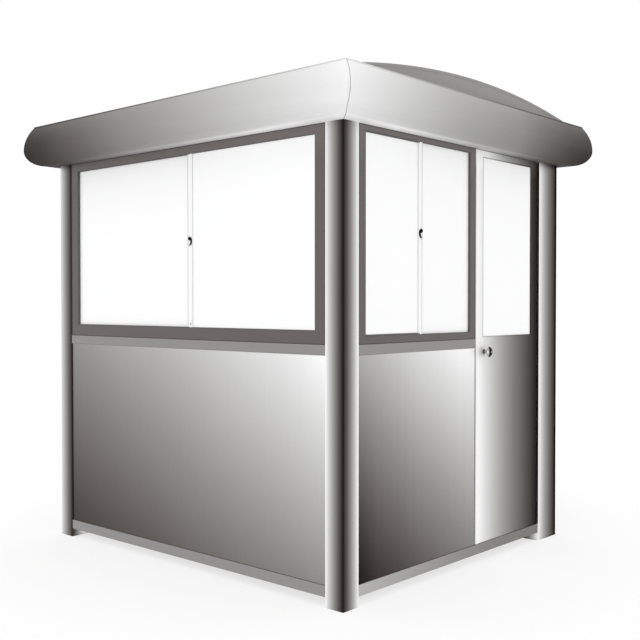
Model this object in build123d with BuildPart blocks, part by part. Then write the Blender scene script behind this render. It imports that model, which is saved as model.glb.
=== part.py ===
from build123d import *
import math
import os

# Security guard booth, in millimetres. X runs to the right, Y to the back and Z up. The origin is
# on the ground at the middle of the footprint. The front wall faces -Y and the door is in the
# right-hand wall, which faces +X, at its back end.

# ---- Driving dimensions -------------------------------------------------------------------------
WIDTH = 2120.0            # over the corner posts, left to right
DEPTH = 1870.0            # over the corner posts, front to back
EAVES = 2100.0            # ground to the underside of the fascia, where the posts end

POST = 105.0              # side of a square corner post
DOOR_POST = 200.0         # length along the wall of the box post that carries the door
POST_SHEET = 3.0          # wall of a post
POST_CORNER = 4.0         # outside corner radius of a post
FOOT_PLATE = 6.0          # plate that closes the bottom of a post

WALL = 60.0               # from the posts' outer face to the walls' inner face

RAIL_CLEAR = 45.0         # ground to the base rail
RAIL_TALL = 50.0          # height of the base rail
RAIL_SHEET = 3.0          # wall of the base rail's tube
RAIL_SET = 2.0            # the rail's face behind the posts' face
FLOOR_THICK = 30.0        # floor deck, flush with the top of the base rail

PANEL_TALL = 1000.0       # lower wall panel, on the base rail
PANEL_SET = 6.0           # the panel's face behind the posts' face
SILL_TALL = 45.0          # sill rail, on the panel
SILL_SET = 2.0

FRAME_SET = 4.0           # window frame's face behind the posts' face
WIDE_SIDE = 60.0          # front and back window frames: face width of the jambs,
WIDE_HEAD = 42.0          # of the head
WIDE_FOOT = 60.0          # and of the bottom member
NARROW_SIDE = 44.0        # right and left window frames: the same three
NARROW_HEAD = 25.0
NARROW_FOOT = 35.0
PANE_THICK = 5.0
PANE_SET = 8.0            # the outer track's pane behind the posts' face
TRACK_STEP = 9.0          # from the outer track to the inner track
STILE_WIDE = 34.0         # meeting stile between the two panes
STILE_SET = 5.0
STILE_DEEP = 30.0
WIDE_SHIFT = 66.0         # front and back meeting stiles, to the right of their windows' middle
NARROW_SHIFT = -6.0       # right and left meeting stiles

LATCH_THICK = 6.0         # crescent latch on the meeting stile
WIDE_LATCH = 1627.0       # height of the front and back latches above the ground
NARROW_LATCH = 1647.0     # and of the right and left ones
LATCH_HEAD = 8.5          # radius of a latch's head
LATCH_TALL = 21.0         # half the height of a latch

DOORWAY = 640.0           # clear width between wall panel and door post
LEAF_THICK = 40.0
LEAF_SET = 4.0            # the leaf's face behind the posts' face
GAP_STRIKE = 6.0          # leaf to wall panel
GAP_HEEL = 5.0            # leaf to door post
GAP_FOOT = 5.0            # leaf to base rail
GAP_HEAD = 6.0            # leaf to fascia
LIGHT_FREE = 64.0         # leaf's free edge to its glass
LIGHT_HEEL = 76.0         # leaf's heel to its glass
LIGHT_HEAD = 28.0         # leaf's top to its glass
LIGHT_FOOT = 1147.0       # ground to the bottom of the door's glass
LIGHT_PANE = 6.0
LIGHT_SET = 4.0           # the door's pane behind the leaf's face

PIN_RADIUS = 8.0          # pivot pins, top and bottom
PIN_FIT = 0.05            # radial clearance in the leaf's bores
PIN_REACH = 30.0          # length of a pin inside the leaf
PIN_END_GAP = 5.0         # from a pin's end to the bottom of its bore
COLLAR_RADIUS = 14.0
COLLAR_THICK = 3.0

STOP_GAP = 6.0            # leaf to the stops behind it
STOP_WIDE = 17.0          # strike stop's cover past the doorway's edge
STOP_DEEP = 20.0
JAMB_DEEP = 50.0          # strike jamb, inside the room
JAMB_WIDE = 50.0          # the part of it behind the wall

KNOB_IN = 77.0            # knob's axis from the leaf's free edge
KNOB_HIGH = 1073.0
ROSE_RADIUS = 13.0
ROSE_THICK = 4.0
NECK_RADIUS = 8.0
NECK_REACH = 18.0         # leaf's face to the grip's back
GRIP_RADIUS = 27.0
GRIP_RIM = 32.0           # leaf's face to the grip's widest place
GRIP_REACH = 46.0         # leaf's face to the grip's tip

SHEET = 2.0               # fascia sheet
SOFFIT = 60.0             # flat underside of the fascia, out from the posts' face
NOSE_RADIUS = 85.0        # lower curve of the nose
BROW_RADIUS = 225.0       # upper curve of the nose
FASCIA_TALL = 220.0

RING_SET = 4.0            # ring beam behind the posts' face
RING_TALL = 120.0
RING_WIDE = 60.0
RING_SHEET = 4.0
CEILING_THICK = 20.0
CEILING_SEAT = 20.0       # the ceiling's bearing on the ring beam

CURB_SET = 15.0           # roof curb behind the posts' face
CURB_SHEET = 3.0
LIP_SET = 35.0            # inner edge of the fascia's top, behind the posts' face
ROOF_END_OUT = 60.0       # roof's gable plates, out from the posts' face
ROOF_SIDE_OUT = 20.0      # roof's long edges, out from the posts' face
ROOF_HEM = 6.0            # upright edge of the vault, on the fascia's top
ROOF_RISE = 89.0          # rise of the arch above the hem
ROOF_SHEET = 3.0

# ---- Sizes that follow --------------------------------------------------------------------------
HALF_WIDTH = WIDTH / 2
HALF_DEPTH = DEPTH / 2
RAIL_TOP = RAIL_CLEAR + RAIL_TALL
PANEL_TOP = RAIL_TOP + PANEL_TALL
SILL_TOP = PANEL_TOP + SILL_TALL

DOOR_HEEL = HALF_DEPTH - DOOR_POST          # doorway's edge at the door post
DOOR_STRIKE = DOOR_HEEL - DOORWAY           # doorway's edge at the wall panel
LEAF_FREE = DOOR_STRIKE + GAP_STRIKE
LEAF_LOW = RAIL_TOP + GAP_FOOT
LEAF_HIGH = EAVES - GAP_HEAD
LEAF_FACE = HALF_WIDTH - LEAF_SET
LEAF_BACK = LEAF_FACE - LEAF_THICK
AXIS_X = LEAF_FACE - LEAF_THICK / 2         # the door turns about the middle of its thickness
AXIS_Y = DOOR_HEEL - GAP_HEEL - LEAF_THICK / 2
STOP_FACE = LEAF_BACK - STOP_GAP

# Each side is a plane on the posts' outer face: local x runs along the wall, local y up and local
# z outwards.
FRONT = Plane((0, -HALF_DEPTH, 0), x_dir=(1, 0, 0), z_dir=(0, -1, 0))
RIGHT = Plane((HALF_WIDTH, 0, 0), x_dir=(0, 1, 0), z_dir=(1, 0, 0))
BACK = Plane((0, HALF_DEPTH, 0), x_dir=(-1, 0, 0), z_dir=(0, 1, 0))
LEFT = Plane((-HALF_WIDTH, 0, 0), x_dir=(0, -1, 0), z_dir=(-1, 0, 0))

# The stretch of each side that its wall panel, sill and window fill.
BAYS = {
    "front": (FRONT, POST - HALF_WIDTH, HALF_WIDTH - POST),
    "right": (RIGHT, POST - HALF_DEPTH, DOOR_STRIKE),
    "back": (BACK, POST - HALF_WIDTH, HALF_WIDTH - POST),
    "left": (LEFT, POST - HALF_DEPTH, HALF_DEPTH - POST),
}
# Each window: the glass opening's left, right, bottom and top edges, its meeting stile's middle and
# its latch's height.
WINDOWS = {}
for name, (side, start, end) in BAYS.items():
    wide = name in ("front", "back")
    jamb = WIDE_SIDE if wide else NARROW_SIDE
    low = SILL_TOP + (WIDE_FOOT if wide else NARROW_FOOT)
    high = EAVES - (WIDE_HEAD if wide else NARROW_HEAD)
    stile = (start + end) / 2 + (WIDE_SHIFT if wide else NARROW_SHIFT)
    latch = WIDE_LATCH if wide else NARROW_LATCH
    WINDOWS[name] = (start + jamb, end - jamb, low, high, stile, latch)

# The corner posts: right and back are +1 or -1 for the corner, length runs from front to back.
POSTS = {
    "post_front_right": (1, -1, POST),
    "post_front_left": (-1, -1, POST),
    "post_back_left": (-1, 1, POST),
    "post_door": (1, 1, DOOR_POST),
}

os.makedirs("parts", exist_ok=True)


def save(piece, name):
    """Label a finished piece and write its STEP file."""
    piece.part.label = name
    export_step(piece.part, f"parts/{name}.step")


def span(start, end, low, high):
    """A rectangle in the open sketch, from start to end along it and from low to high up it."""
    with Locations(((start + end) / 2, (low + high) / 2)):
        Rectangle(end - start, high - low)


def wall_plate(side, start, end, low, high, setback, back=WALL):
    """A plate in a wall, from its set-back face to the wall's inner face."""
    with BuildPart() as plate:
        with BuildSketch(side.offset(-setback)):
            span(start, end, low, high)
        extrude(amount=setback - back)
    return plate


# ---- Posts --------------------------------------------------------------------------------------
def post_middle(right, back, length):
    """The middle of a corner post in plan."""
    return (right * (HALF_WIDTH - POST / 2), back * (HALF_DEPTH - length / 2))


def corner_post(right, back, length):
    """A box post with its foot closed and its top open under the ring beam."""
    middle = post_middle(right, back, length)
    with BuildPart() as post:
        with BuildSketch():
            with Locations(middle):
                RectangleRounded(POST, length, POST_CORNER)
        extrude(amount=EAVES)
        with BuildSketch(Plane.XY.offset(FOOT_PLATE)):
            with Locations(middle):
                Rectangle(POST - 2 * POST_SHEET, length - 2 * POST_SHEET)
        extrude(amount=EAVES - FOOT_PLATE, mode=Mode.SUBTRACT)
    return post


for name, (right, back, length) in POSTS.items():
    save(corner_post(right, back, length), name)


# ---- Base rails and floor -----------------------------------------------------------------------
def base_rail(side, start, end):
    """A rectangular tube between two posts."""
    with BuildPart() as rail:
        with BuildSketch(side.offset(-RAIL_SET)):
            span(start, end, RAIL_CLEAR, RAIL_TOP)
        extrude(amount=RAIL_SET - WALL)
        with BuildSketch(side.offset(-RAIL_SET - RAIL_SHEET)):
            span(start, end, RAIL_CLEAR + RAIL_SHEET, RAIL_TOP - RAIL_SHEET)
        extrude(amount=RAIL_SET + 2 * RAIL_SHEET - WALL, mode=Mode.SUBTRACT)
    return rail


for name, (side, start, end) in BAYS.items():
    rail_end = DOOR_HEEL if name == "right" else end     # the right rail runs on under the door
    save(base_rail(side, start, rail_end), f"base_rail_{name}")

with BuildPart() as floor:
    with BuildSketch(Plane.XY.offset(RAIL_TOP - FLOOR_THICK)):
        Rectangle(WIDTH - 2 * WALL, DEPTH - 2 * WALL)
        for right, back, length in POSTS.values():
            with Locations(post_middle(right, back, length)):
                Rectangle(POST, length, mode=Mode.SUBTRACT)
    extrude(amount=FLOOR_THICK)
save(floor, "floor")

# ---- Lower walls --------------------------------------------------------------------------------
for name, (side, start, end) in BAYS.items():
    save(wall_plate(side, start, end, RAIL_TOP, PANEL_TOP, PANEL_SET), f"wall_panel_{name}")
    save(wall_plate(side, start, end, PANEL_TOP, SILL_TOP, SILL_SET), f"sill_{name}")


# ---- Windows ------------------------------------------------------------------------------------
def window_frame(name):
    """The outer frame of a window, from the sill to the eaves."""
    side, start, end = BAYS[name]
    left, right, low, high, stile, latch = WINDOWS[name]
    with BuildPart() as frame:
        with BuildSketch(side.offset(-FRAME_SET)):
            span(start, end, SILL_TOP, EAVES)
            with Locations(((left + right) / 2, (low + high) / 2)):
                Rectangle(right - left, high - low, mode=Mode.SUBTRACT)
        extrude(amount=FRAME_SET - WALL)
    return frame


def window_panes(name):
    """The two panes, each between the frame's jamb and the meeting stile, in tracks of their own."""
    side = BAYS[name][0]
    left, right, low, high, stile, latch = WINDOWS[name]
    left_step, right_step = (0, TRACK_STEP) if name == "right" else (TRACK_STEP, 0)
    with BuildPart() as panes:
        with BuildSketch(side.offset(-PANE_SET - left_step)):
            span(left, stile - STILE_WIDE / 2, low, high)
        extrude(amount=-PANE_THICK)
        with BuildSketch(side.offset(-PANE_SET - right_step)):
            span(stile + STILE_WIDE / 2, right, low, high)
        extrude(amount=-PANE_THICK)
    return panes


def latch_outline(hand):
    """A comma: a round head and a tail that sweeps down, to the left for hand 1."""
    crown = (0, LATCH_TALL - 0.2 * LATCH_HEAD)
    bulge = (1.5 * hand * LATCH_HEAD, 0.3 * LATCH_HEAD)
    tip = (-1.3 * hand * LATCH_HEAD, -LATCH_TALL)
    hollow = (0.6 * hand * LATCH_HEAD, -0.3 * LATCH_TALL)
    throat = (0.3 * hand * LATCH_HEAD, 0.7 * LATCH_HEAD)
    with Locations((-0.4 * hand * LATCH_HEAD, LATCH_TALL - LATCH_HEAD)):
        Circle(LATCH_HEAD)
    with BuildLine() as tail:
        ThreePointArc(crown, bulge, tip)
        ThreePointArc(tip, hollow, throat)
        Line(throat, crown)
    make_face(tail.edges())


for name in WINDOWS:
    save(window_frame(name), f"window_frame_{name}")
    save(window_panes(name), f"window_panes_{name}")

with BuildPart() as meeting_stiles:
    for name, (left, right, low, high, stile, latch) in WINDOWS.items():
        with BuildSketch(BAYS[name][0].offset(-STILE_SET)):
            span(stile - STILE_WIDE / 2, stile + STILE_WIDE / 2, low, high)
        extrude(amount=-STILE_DEEP)
save(meeting_stiles, "meeting_stiles")

with BuildPart() as latches:
    for name, (left, right, low, high, stile, latch) in WINDOWS.items():
        face = BAYS[name][0].offset(-STILE_SET)
        hand = -1 if name == "right" else 1
        with BuildSketch(face.shift_origin(face.from_local_coords((stile, latch)))):
            latch_outline(hand)
        extrude(amount=LATCH_THICK)
save(latches, "window_latches")

# ---- Door ---------------------------------------------------------------------------------------
LIGHT_START = LEAF_FREE + LIGHT_FREE
LIGHT_END = DOOR_HEEL - GAP_HEEL - LIGHT_HEEL
LIGHT_HIGH = LEAF_HIGH - LIGHT_HEAD
PIN_BORE = PIN_REACH + PIN_END_GAP

with BuildPart() as door_leaf:
    with BuildSketch(Plane.XY.offset(LEAF_LOW)):
        span(LEAF_BACK, LEAF_FACE, LEAF_FREE, AXIS_Y)
        with Locations((AXIS_X, AXIS_Y)):
            Circle(LEAF_THICK / 2)
    extrude(amount=LEAF_HIGH - LEAF_LOW)
    with BuildSketch(RIGHT.offset(-LEAF_SET)):
        span(LIGHT_START, LIGHT_END, LIGHT_FOOT, LIGHT_HIGH)
    extrude(amount=-LEAF_THICK, mode=Mode.SUBTRACT)
    with BuildSketch(Plane.XY.offset(LEAF_LOW)):
        with Locations((AXIS_X, AXIS_Y)):
            Circle(PIN_RADIUS + PIN_FIT)
    extrude(amount=PIN_BORE, mode=Mode.SUBTRACT)
    with BuildSketch(Plane.XY.offset(LEAF_HIGH)):
        with Locations((AXIS_X, AXIS_Y)):
            Circle(PIN_RADIUS + PIN_FIT)
    extrude(amount=-PIN_BORE, mode=Mode.SUBTRACT)
save(door_leaf, "door_leaf")

with BuildPart() as door_pane:
    with BuildSketch(RIGHT.offset(-LEAF_SET - LIGHT_SET)):
        span(LIGHT_START, LIGHT_END, LIGHT_FOOT, LIGHT_HIGH)
    extrude(amount=-LIGHT_PANE)
save(door_pane, "door_pane")

with BuildPart() as door_pivots:
    for seat, reach in ((RAIL_TOP, 1), (EAVES, -1)):
        with BuildSketch(Plane.XY.offset(seat)):
            with Locations((AXIS_X, AXIS_Y)):
                Circle(COLLAR_RADIUS)
        extrude(amount=reach * COLLAR_THICK)
    with BuildSketch(Plane.XY.offset(RAIL_TOP)):
        with Locations((AXIS_X, AXIS_Y)):
            Circle(PIN_RADIUS)
    extrude(amount=GAP_FOOT + PIN_REACH)
    with BuildSketch(Plane.XY.offset(EAVES)):
        with Locations((AXIS_X, AXIS_Y)):
            Circle(PIN_RADIUS)
    extrude(amount=-GAP_HEAD - PIN_REACH)
save(door_pivots, "door_pivots")


def knob(face, outward):
    """A turned knob on a small rose; outward is +1 on the street side and -1 in the room."""
    centre = (face, LEAF_FREE + KNOB_IN, KNOB_HIGH)
    profile = Plane(centre, x_dir=(outward, 0, 0), z_dir=(0, -outward, 0))
    dome = GRIP_REACH - GRIP_RIM
    dome_radius = (GRIP_RADIUS**2 + dome**2) / (2 * dome)
    dome_middle = GRIP_REACH - dome_radius + math.sqrt(dome_radius**2 - (GRIP_RADIUS / 2) ** 2)
    with BuildPart() as turned:
        with BuildSketch(profile):
            with BuildLine():
                Polyline(
                    (0, 0),
                    (0, ROSE_RADIUS),
                    (ROSE_THICK, ROSE_RADIUS),
                    (ROSE_THICK, NECK_RADIUS),
                    (NECK_REACH, NECK_RADIUS),
                    (GRIP_RIM, GRIP_RADIUS),
                )
                ThreePointArc(
                    (GRIP_RIM, GRIP_RADIUS), (dome_middle, GRIP_RADIUS / 2), (GRIP_REACH, 0)
                )
                Line((GRIP_REACH, 0), (0, 0))
            make_face()
        revolve(axis=Axis(centre, (1, 0, 0)))
    return turned


save(knob(LEAF_FACE, 1), "door_knob_outer")
save(knob(LEAF_BACK, -1), "door_knob_inner")

with BuildPart() as door_jamb:
    with BuildSketch(Plane.XY.offset(RAIL_TOP)):
        inner_face = HALF_WIDTH - WALL
        span(inner_face - JAMB_DEEP, inner_face, DOOR_STRIKE - JAMB_WIDE, DOOR_STRIKE)
        span(inner_face - JAMB_DEEP, STOP_FACE, DOOR_STRIKE, DOOR_STRIKE + STOP_WIDE)
    extrude(amount=EAVES - RAIL_TOP)
save(door_jamb, "door_jamb")

with BuildPart() as door_stop_head:
    with BuildSketch(Plane.XY.offset(EAVES)):
        span(STOP_FACE - STOP_DEEP, STOP_FACE, DOOR_STRIKE + STOP_WIDE, DOOR_HEEL)
    extrude(amount=-STOP_DEEP)
save(door_stop_head, "door_stop_head")

with BuildPart() as door_stop_heel:
    with BuildSketch(Plane.XY.offset(RAIL_TOP)):
        span(STOP_FACE - STOP_DEEP, STOP_FACE, DOOR_HEEL - STOP_DEEP, DOOR_HEEL)
    extrude(amount=EAVES - STOP_DEEP - RAIL_TOP)
save(door_stop_heel, "door_stop_heel")

# ---- Ring beam and ceiling ----------------------------------------------------------------------
with BuildPart() as ring_beam:
    ring_width = WIDTH - 2 * RING_SET
    ring_depth = DEPTH - 2 * RING_SET
    with BuildSketch(Plane.XY.offset(EAVES)):
        Rectangle(ring_width, ring_depth)
        Rectangle(ring_width - 2 * RING_WIDE, ring_depth - 2 * RING_WIDE, mode=Mode.SUBTRACT)
    extrude(amount=RING_SHEET)
    with BuildSketch(Plane.XY.offset(EAVES)):
        Rectangle(ring_width, ring_depth)
        Rectangle(ring_width - 2 * RING_SHEET, ring_depth - 2 * RING_SHEET, mode=Mode.SUBTRACT)
    extrude(amount=RING_TALL)
save(ring_beam, "ring_beam")

with BuildPart() as ceiling:
    ceiling_set = RING_SET + RING_WIDE - CEILING_SEAT
    with BuildSketch(Plane.XY.offset(EAVES + RING_SHEET)):
        Rectangle(WIDTH - 2 * ceiling_set, DEPTH - 2 * ceiling_set)
    extrude(amount=CEILING_THICK)
save(ceiling, "ceiling")

# ---- Fascia: bull-nosed sheet, mitred at the corners --------------------------------------------
NOSE_MIDDLE = EAVES + NOSE_RADIUS                       # height of the nose's widest place
BROW_CENTRE = SOFFIT + NOSE_RADIUS - BROW_RADIUS        # out from the posts' face
FASCIA_TOP = EAVES + FASCIA_TALL
NOSE_REACH = SOFFIT + NOSE_RADIUS


def nose_chain(inset):
    """The sheet's outline from the ring beam round the nose to the curb, drawn in by inset."""
    low = EAVES + inset
    top = FASCIA_TOP - inset
    nose = NOSE_RADIUS - inset
    brow = BROW_RADIUS - inset
    widest = (SOFFIT + nose, NOSE_MIDDLE)
    diagonal = nose * math.sqrt(0.5)
    brow_end = (BROW_CENTRE + math.sqrt(brow**2 - (top - NOSE_MIDDLE) ** 2), top)
    half_height = (NOSE_MIDDLE + top) / 2
    brow_middle = (BROW_CENTRE + math.sqrt(brow**2 - (half_height - NOSE_MIDDLE) ** 2), half_height)
    Line((-RING_SET, low), (SOFFIT, low))
    ThreePointArc((SOFFIT, low), (SOFFIT + diagonal, NOSE_MIDDLE - diagonal), widest)
    ThreePointArc(widest, brow_middle, brow_end)
    Line(brow_end, (-LIP_SET, top))


def fascia(side, half):
    """One side of the fascia; half is half the length of its wall over the posts."""
    section = Plane(side.origin, x_dir=side.z_dir, z_dir=-side.x_dir)
    plan = Plane(side.origin + Vector(0, 0, EAVES), x_dir=side.x_dir, z_dir=(0, 0, 1))
    long = half + NOSE_REACH
    short = half - LIP_SET
    with BuildPart() as nose:
        with BuildSketch(section):
            with BuildLine():
                nose_chain(0)
                nose_chain(SHEET)
                Line((-RING_SET, EAVES), (-RING_SET, EAVES + SHEET))
                Line((-LIP_SET, FASCIA_TOP), (-LIP_SET, FASCIA_TOP - SHEET))
            make_face()
        extrude(amount=long, both=True)
        with BuildSketch(plan):
            with BuildLine():
                Polyline(
                    (-long, -NOSE_REACH),
                    (long, -NOSE_REACH),
                    (short, LIP_SET),
                    (-short, LIP_SET),
                    close=True,
                )
            make_face()
        extrude(amount=FASCIA_TALL, mode=Mode.INTERSECT)
    return nose


save(fascia(FRONT, HALF_WIDTH), "fascia_front")
save(fascia(RIGHT, HALF_DEPTH), "fascia_right")
save(fascia(BACK, HALF_WIDTH), "fascia_back")
save(fascia(LEFT, HALF_DEPTH), "fascia_left")

# ---- Roof: a curb under the fascia's top, and a shallow barrel vault with flat gable plates -----
with BuildPart() as roof_curb:
    curb_width = WIDTH - 2 * CURB_SET
    curb_depth = DEPTH - 2 * CURB_SET
    with BuildSketch(Plane.XY.offset(EAVES + RING_SHEET)):
        Rectangle(curb_width, curb_depth)
        Rectangle(curb_width - 2 * CURB_SHEET, curb_depth - 2 * CURB_SHEET, mode=Mode.SUBTRACT)
    extrude(amount=FASCIA_TALL - RING_SHEET - SHEET)
save(roof_curb, "roof_curb")

ROOF_HALF = HALF_DEPTH + ROOF_SIDE_OUT
ROOF_LENGTH = WIDTH + 2 * ROOF_END_OUT
ROOF_RADIUS = (ROOF_HALF**2 + ROOF_RISE**2) / (2 * ROOF_RISE)
ROOF_CENTRE = FASCIA_TOP + ROOF_HEM + ROOF_RISE - ROOF_RADIUS


def arch_outline(inset, mode=Mode.ADD):
    """The roof's end outline, seen along X, drawn in from its outer face by inset."""
    half = ROOF_HALF - inset
    radius = ROOF_RADIUS - inset
    spring = ROOF_CENTRE + math.sqrt(radius**2 - half**2)
    with BuildLine() as outline:
        ThreePointArc((-half, spring), (0, ROOF_CENTRE + radius), (half, spring))
        Polyline((half, spring), (half, FASCIA_TOP), (-half, FASCIA_TOP), (-half, spring))
    make_face(outline.edges(), mode=mode)


with BuildPart() as roof_vault:
    with BuildSketch(Plane.YZ.offset(ROOF_SHEET - ROOF_LENGTH / 2)):
        arch_outline(0)
        arch_outline(ROOF_SHEET, mode=Mode.SUBTRACT)
    extrude(amount=ROOF_LENGTH - 2 * ROOF_SHEET)
save(roof_vault, "roof_vault")


def gable(inner_face):
    """A flat end plate of the vault, with its inner or left face at inner_face."""
    with BuildPart() as plate:
        with BuildSketch(Plane.YZ.offset(inner_face)):
            arch_outline(0)
        extrude(amount=ROOF_SHEET)
    return plate


save(gable(ROOF_LENGTH / 2 - ROOF_SHEET), "roof_gable_right")
save(gable(-ROOF_LENGTH / 2), "roof_gable_left")
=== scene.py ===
# %% [markdown]
# # A security guard booth
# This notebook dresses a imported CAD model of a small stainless-steel guard booth. The CAD gives
# every real size and every moving part. Here the camera, the light, the finishes and the small
# trim are added: seals, seams, beads, screws and plates.

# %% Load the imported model
import math

import bmesh
import bpy
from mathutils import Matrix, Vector


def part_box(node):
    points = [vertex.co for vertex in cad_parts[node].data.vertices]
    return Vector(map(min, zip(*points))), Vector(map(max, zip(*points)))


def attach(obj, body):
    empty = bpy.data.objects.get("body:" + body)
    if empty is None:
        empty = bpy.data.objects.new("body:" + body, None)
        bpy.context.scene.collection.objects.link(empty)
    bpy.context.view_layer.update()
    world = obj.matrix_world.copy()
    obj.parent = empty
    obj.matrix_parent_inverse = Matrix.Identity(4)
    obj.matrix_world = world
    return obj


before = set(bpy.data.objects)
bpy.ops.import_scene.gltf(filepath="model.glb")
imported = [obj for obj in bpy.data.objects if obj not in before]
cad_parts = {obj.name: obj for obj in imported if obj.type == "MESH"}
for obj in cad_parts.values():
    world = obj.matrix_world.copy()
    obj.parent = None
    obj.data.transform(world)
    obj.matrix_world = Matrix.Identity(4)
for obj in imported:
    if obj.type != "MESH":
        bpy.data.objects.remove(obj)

scene = bpy.context.scene
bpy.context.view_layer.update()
print("CAD nodes:", len(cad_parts))

# %% [markdown]
# ## Where things are
# All trim sits on the CAD, so its places are measured on the CAD and not typed in twice. The four
# walls are turns of one wall. Each has an angle that turns the front wall onto it, the distance
# from the booth's middle to the posts' outer face, and the directions along it and out of it.
# Everything on a wall is measured, and later modelled, as if the wall were the front one: x runs
# to the right along the wall, y into the booth and z up.

# %% Sizes measured on the CAD
near_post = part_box("post_front_right")
HALF_WIDTH = near_post[1].x
HALF_DEPTH = -near_post[0].y
EAVES = near_post[1].z
FASCIA_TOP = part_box("fascia_front")[1].z

WALLS = {
    "front": {"turn": 0.0, "out": HALF_DEPTH, "along": (1, 0, 0), "facing": (0, -1, 0)},
    "right": {"turn": math.pi / 2, "out": HALF_WIDTH, "along": (0, 1, 0), "facing": (1, 0, 0)},
    "back": {"turn": math.pi, "out": HALF_DEPTH, "along": (-1, 0, 0), "facing": (0, 1, 0)},
    "left": {"turn": -math.pi / 2, "out": HALF_WIDTH, "along": (0, -1, 0), "facing": (-1, 0, 0)},
}
WALL_REACH = 0.25  # what lies this near to a wall's face counts as part of it


def by_wall(wide, narrow):
    """One value for the front and back walls and another for the right and left ones."""
    return {"front": wide, "right": narrow, "back": wide, "left": narrow}


def wall_box(node, wall):
    """Low and high corner, in a wall's own frame, of what a CAD node has at that wall."""
    along, facing = Vector(WALLS[wall]["along"]), Vector(WALLS[wall]["facing"])
    spots = [
        Vector((vertex.co.dot(along), -vertex.co.dot(facing), vertex.co.z))
        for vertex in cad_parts[node].data.vertices
        if vertex.co.dot(facing) > WALLS[wall]["out"] - WALL_REACH
    ]
    low = Vector([min(spot[axis] for spot in spots) for axis in range(3)])
    high = Vector([max(spot[axis] for spot in spots) for axis in range(3)])
    return low, high


print("posts' outer faces at x", round(HALF_WIDTH, 3), "and y", round(-HALF_DEPTH, 3))

# %% [markdown]
# ## Camera
# The booth is seen from chest height, a few steps off its near corner, with a lens that is
# slightly longer than normal. A camera that is almost level keeps the posts upright.

# %% Camera
camera_data = bpy.data.cameras.new("camera")
camera_data.sensor_width = 36.0
camera_data.lens = 53.86
camera = bpy.data.objects.new("camera", camera_data)
camera.location = (3.694, -4.027, 1.3205)
camera.rotation_euler = (math.radians(89.0), 0.0, math.radians(41.8225))
scene.collection.objects.link(camera)
scene.camera = camera
scene.view_settings.view_transform = "Standard"
print("camera at", tuple(round(c, 3) for c in camera.location))

# %% [markdown]
# ## Helpers for node trees
# A material is a small program of nodes. These helpers keep the code short: some add a node and
# fill or link its inputs, one starts a reusable group, and one places a group in a material.
# An effect that several finishes share is a group, so that it is made once and each finish only
# gives it other values.


# %% Node helpers
def fill(tree, made, inputs):
    """Link each input that is given a socket, and set each that is given a value."""
    for key, value in inputs.items():
        if isinstance(value, bpy.types.NodeSocket):
            tree.links.new(value, made.inputs[key])
        else:
            made.inputs[key].default_value = value
    return made


def add(tree, kind, inputs=None, **settings):
    """Add a shader node with these settings and inputs."""
    made = tree.nodes.new("ShaderNode" + kind)
    for key, value in settings.items():
        setattr(made, key, value)
    return fill(tree, made, inputs or {})


def calc(tree, operation, *values, clamp=False):
    """The output of a Math node."""
    made = add(tree, "Math", operation=operation, use_clamp=clamp)
    return fill(tree, made, dict(enumerate(values))).outputs[0]


def vector_calc(tree, operation, *values):
    """The Math node's output for vectors; a dot product comes out as one number."""
    made = add(tree, "VectorMath", dict(enumerate(values)), operation=operation)
    return made.outputs["Value" if operation == "DOT_PRODUCT" else "Vector"]


def parts_of(tree, vector):
    """The x, y and z of a vector."""
    return add(tree, "SeparateXYZ", {0: vector}).outputs


def noise(tree, place, scale, **inputs):
    """A soft random pattern from 0 to 1; inputs are the Noise node's own, such as Detail."""
    return add(tree, "TexNoise", {"Vector": place, "Scale": scale, **inputs}).outputs[0]


def between(tree, first, second, share):
    """A number from first to second as share goes from 0 to 1."""
    made = add(tree, "Mix", data_type="FLOAT")
    return fill(tree, made, {0: share, 2: first, 3: second}).outputs[0]


def blend_colours(tree, first, second, share):
    """A colour from first to second as share goes from 0 to 1.

    first and second are each a socket, or red, green and blue.
    """
    made = add(tree, "Mix", data_type="RGBA")
    first, second = ((*end, 1) if isinstance(end, tuple) else end for end in (first, second))
    return fill(tree, made, {0: share, 6: first, 7: second}).outputs[2]


def fade(tree, share, stops):
    """A tone that follows these stops, each a place and a tone, as share goes from 0 to 1."""
    ramp = add(tree, "ValToRGB", {0: share})
    elements = ramp.color_ramp.elements
    for element, (place, tone) in zip((elements[0], elements[1]), (stops[0], stops[-1])):
        element.position = place
        element.color = (tone, tone, tone, 1)
    for place, tone in stops[1:-1]:
        elements.new(place).color = (tone, tone, tone, 1)
    return ramp.outputs[0]


def new_group(name, inputs, outputs):
    """Start a node group from its inputs' first values, and the kinds of its outputs."""
    group = bpy.data.node_groups.new(name, "ShaderNodeTree")
    for label, value in inputs.items():
        kind = "NodeSocketFloat" if isinstance(value, float) else "NodeSocketVector"
        socket = group.interface.new_socket(label, in_out="INPUT", socket_type=kind)
        socket.default_value = value
    for label, kind in outputs.items():
        group.interface.new_socket(label, in_out="OUTPUT", socket_type="NodeSocket" + kind)
    given = group.nodes.new("NodeGroupInput").outputs
    result = group.nodes.new("NodeGroupOutput")
    return group, given, result


def use(tree, group, inputs):
    """Place a group in a tree and return its outputs."""
    return fill(tree, add(tree, "Group", node_tree=group), inputs).outputs


print("node helpers ready")

# %% [markdown]
# ## Brushed grain
# Brushed steel is drawn under an abrasive belt, which leaves fine parallel scratches. Noise that
# is squeezed hard across the scratches and hardly at all along them gives the same streaks. The
# scratches are finer than a picture of the whole booth shows, so a second, wider set of streaks
# keeps some life in the metal from a distance.

# %% Group: brushed grain
STREAK_FINENESS = (0.09, 0.09, 0.09)  # as shares of the scratches' fineness
STREAK_SHARE = 0.3

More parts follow.
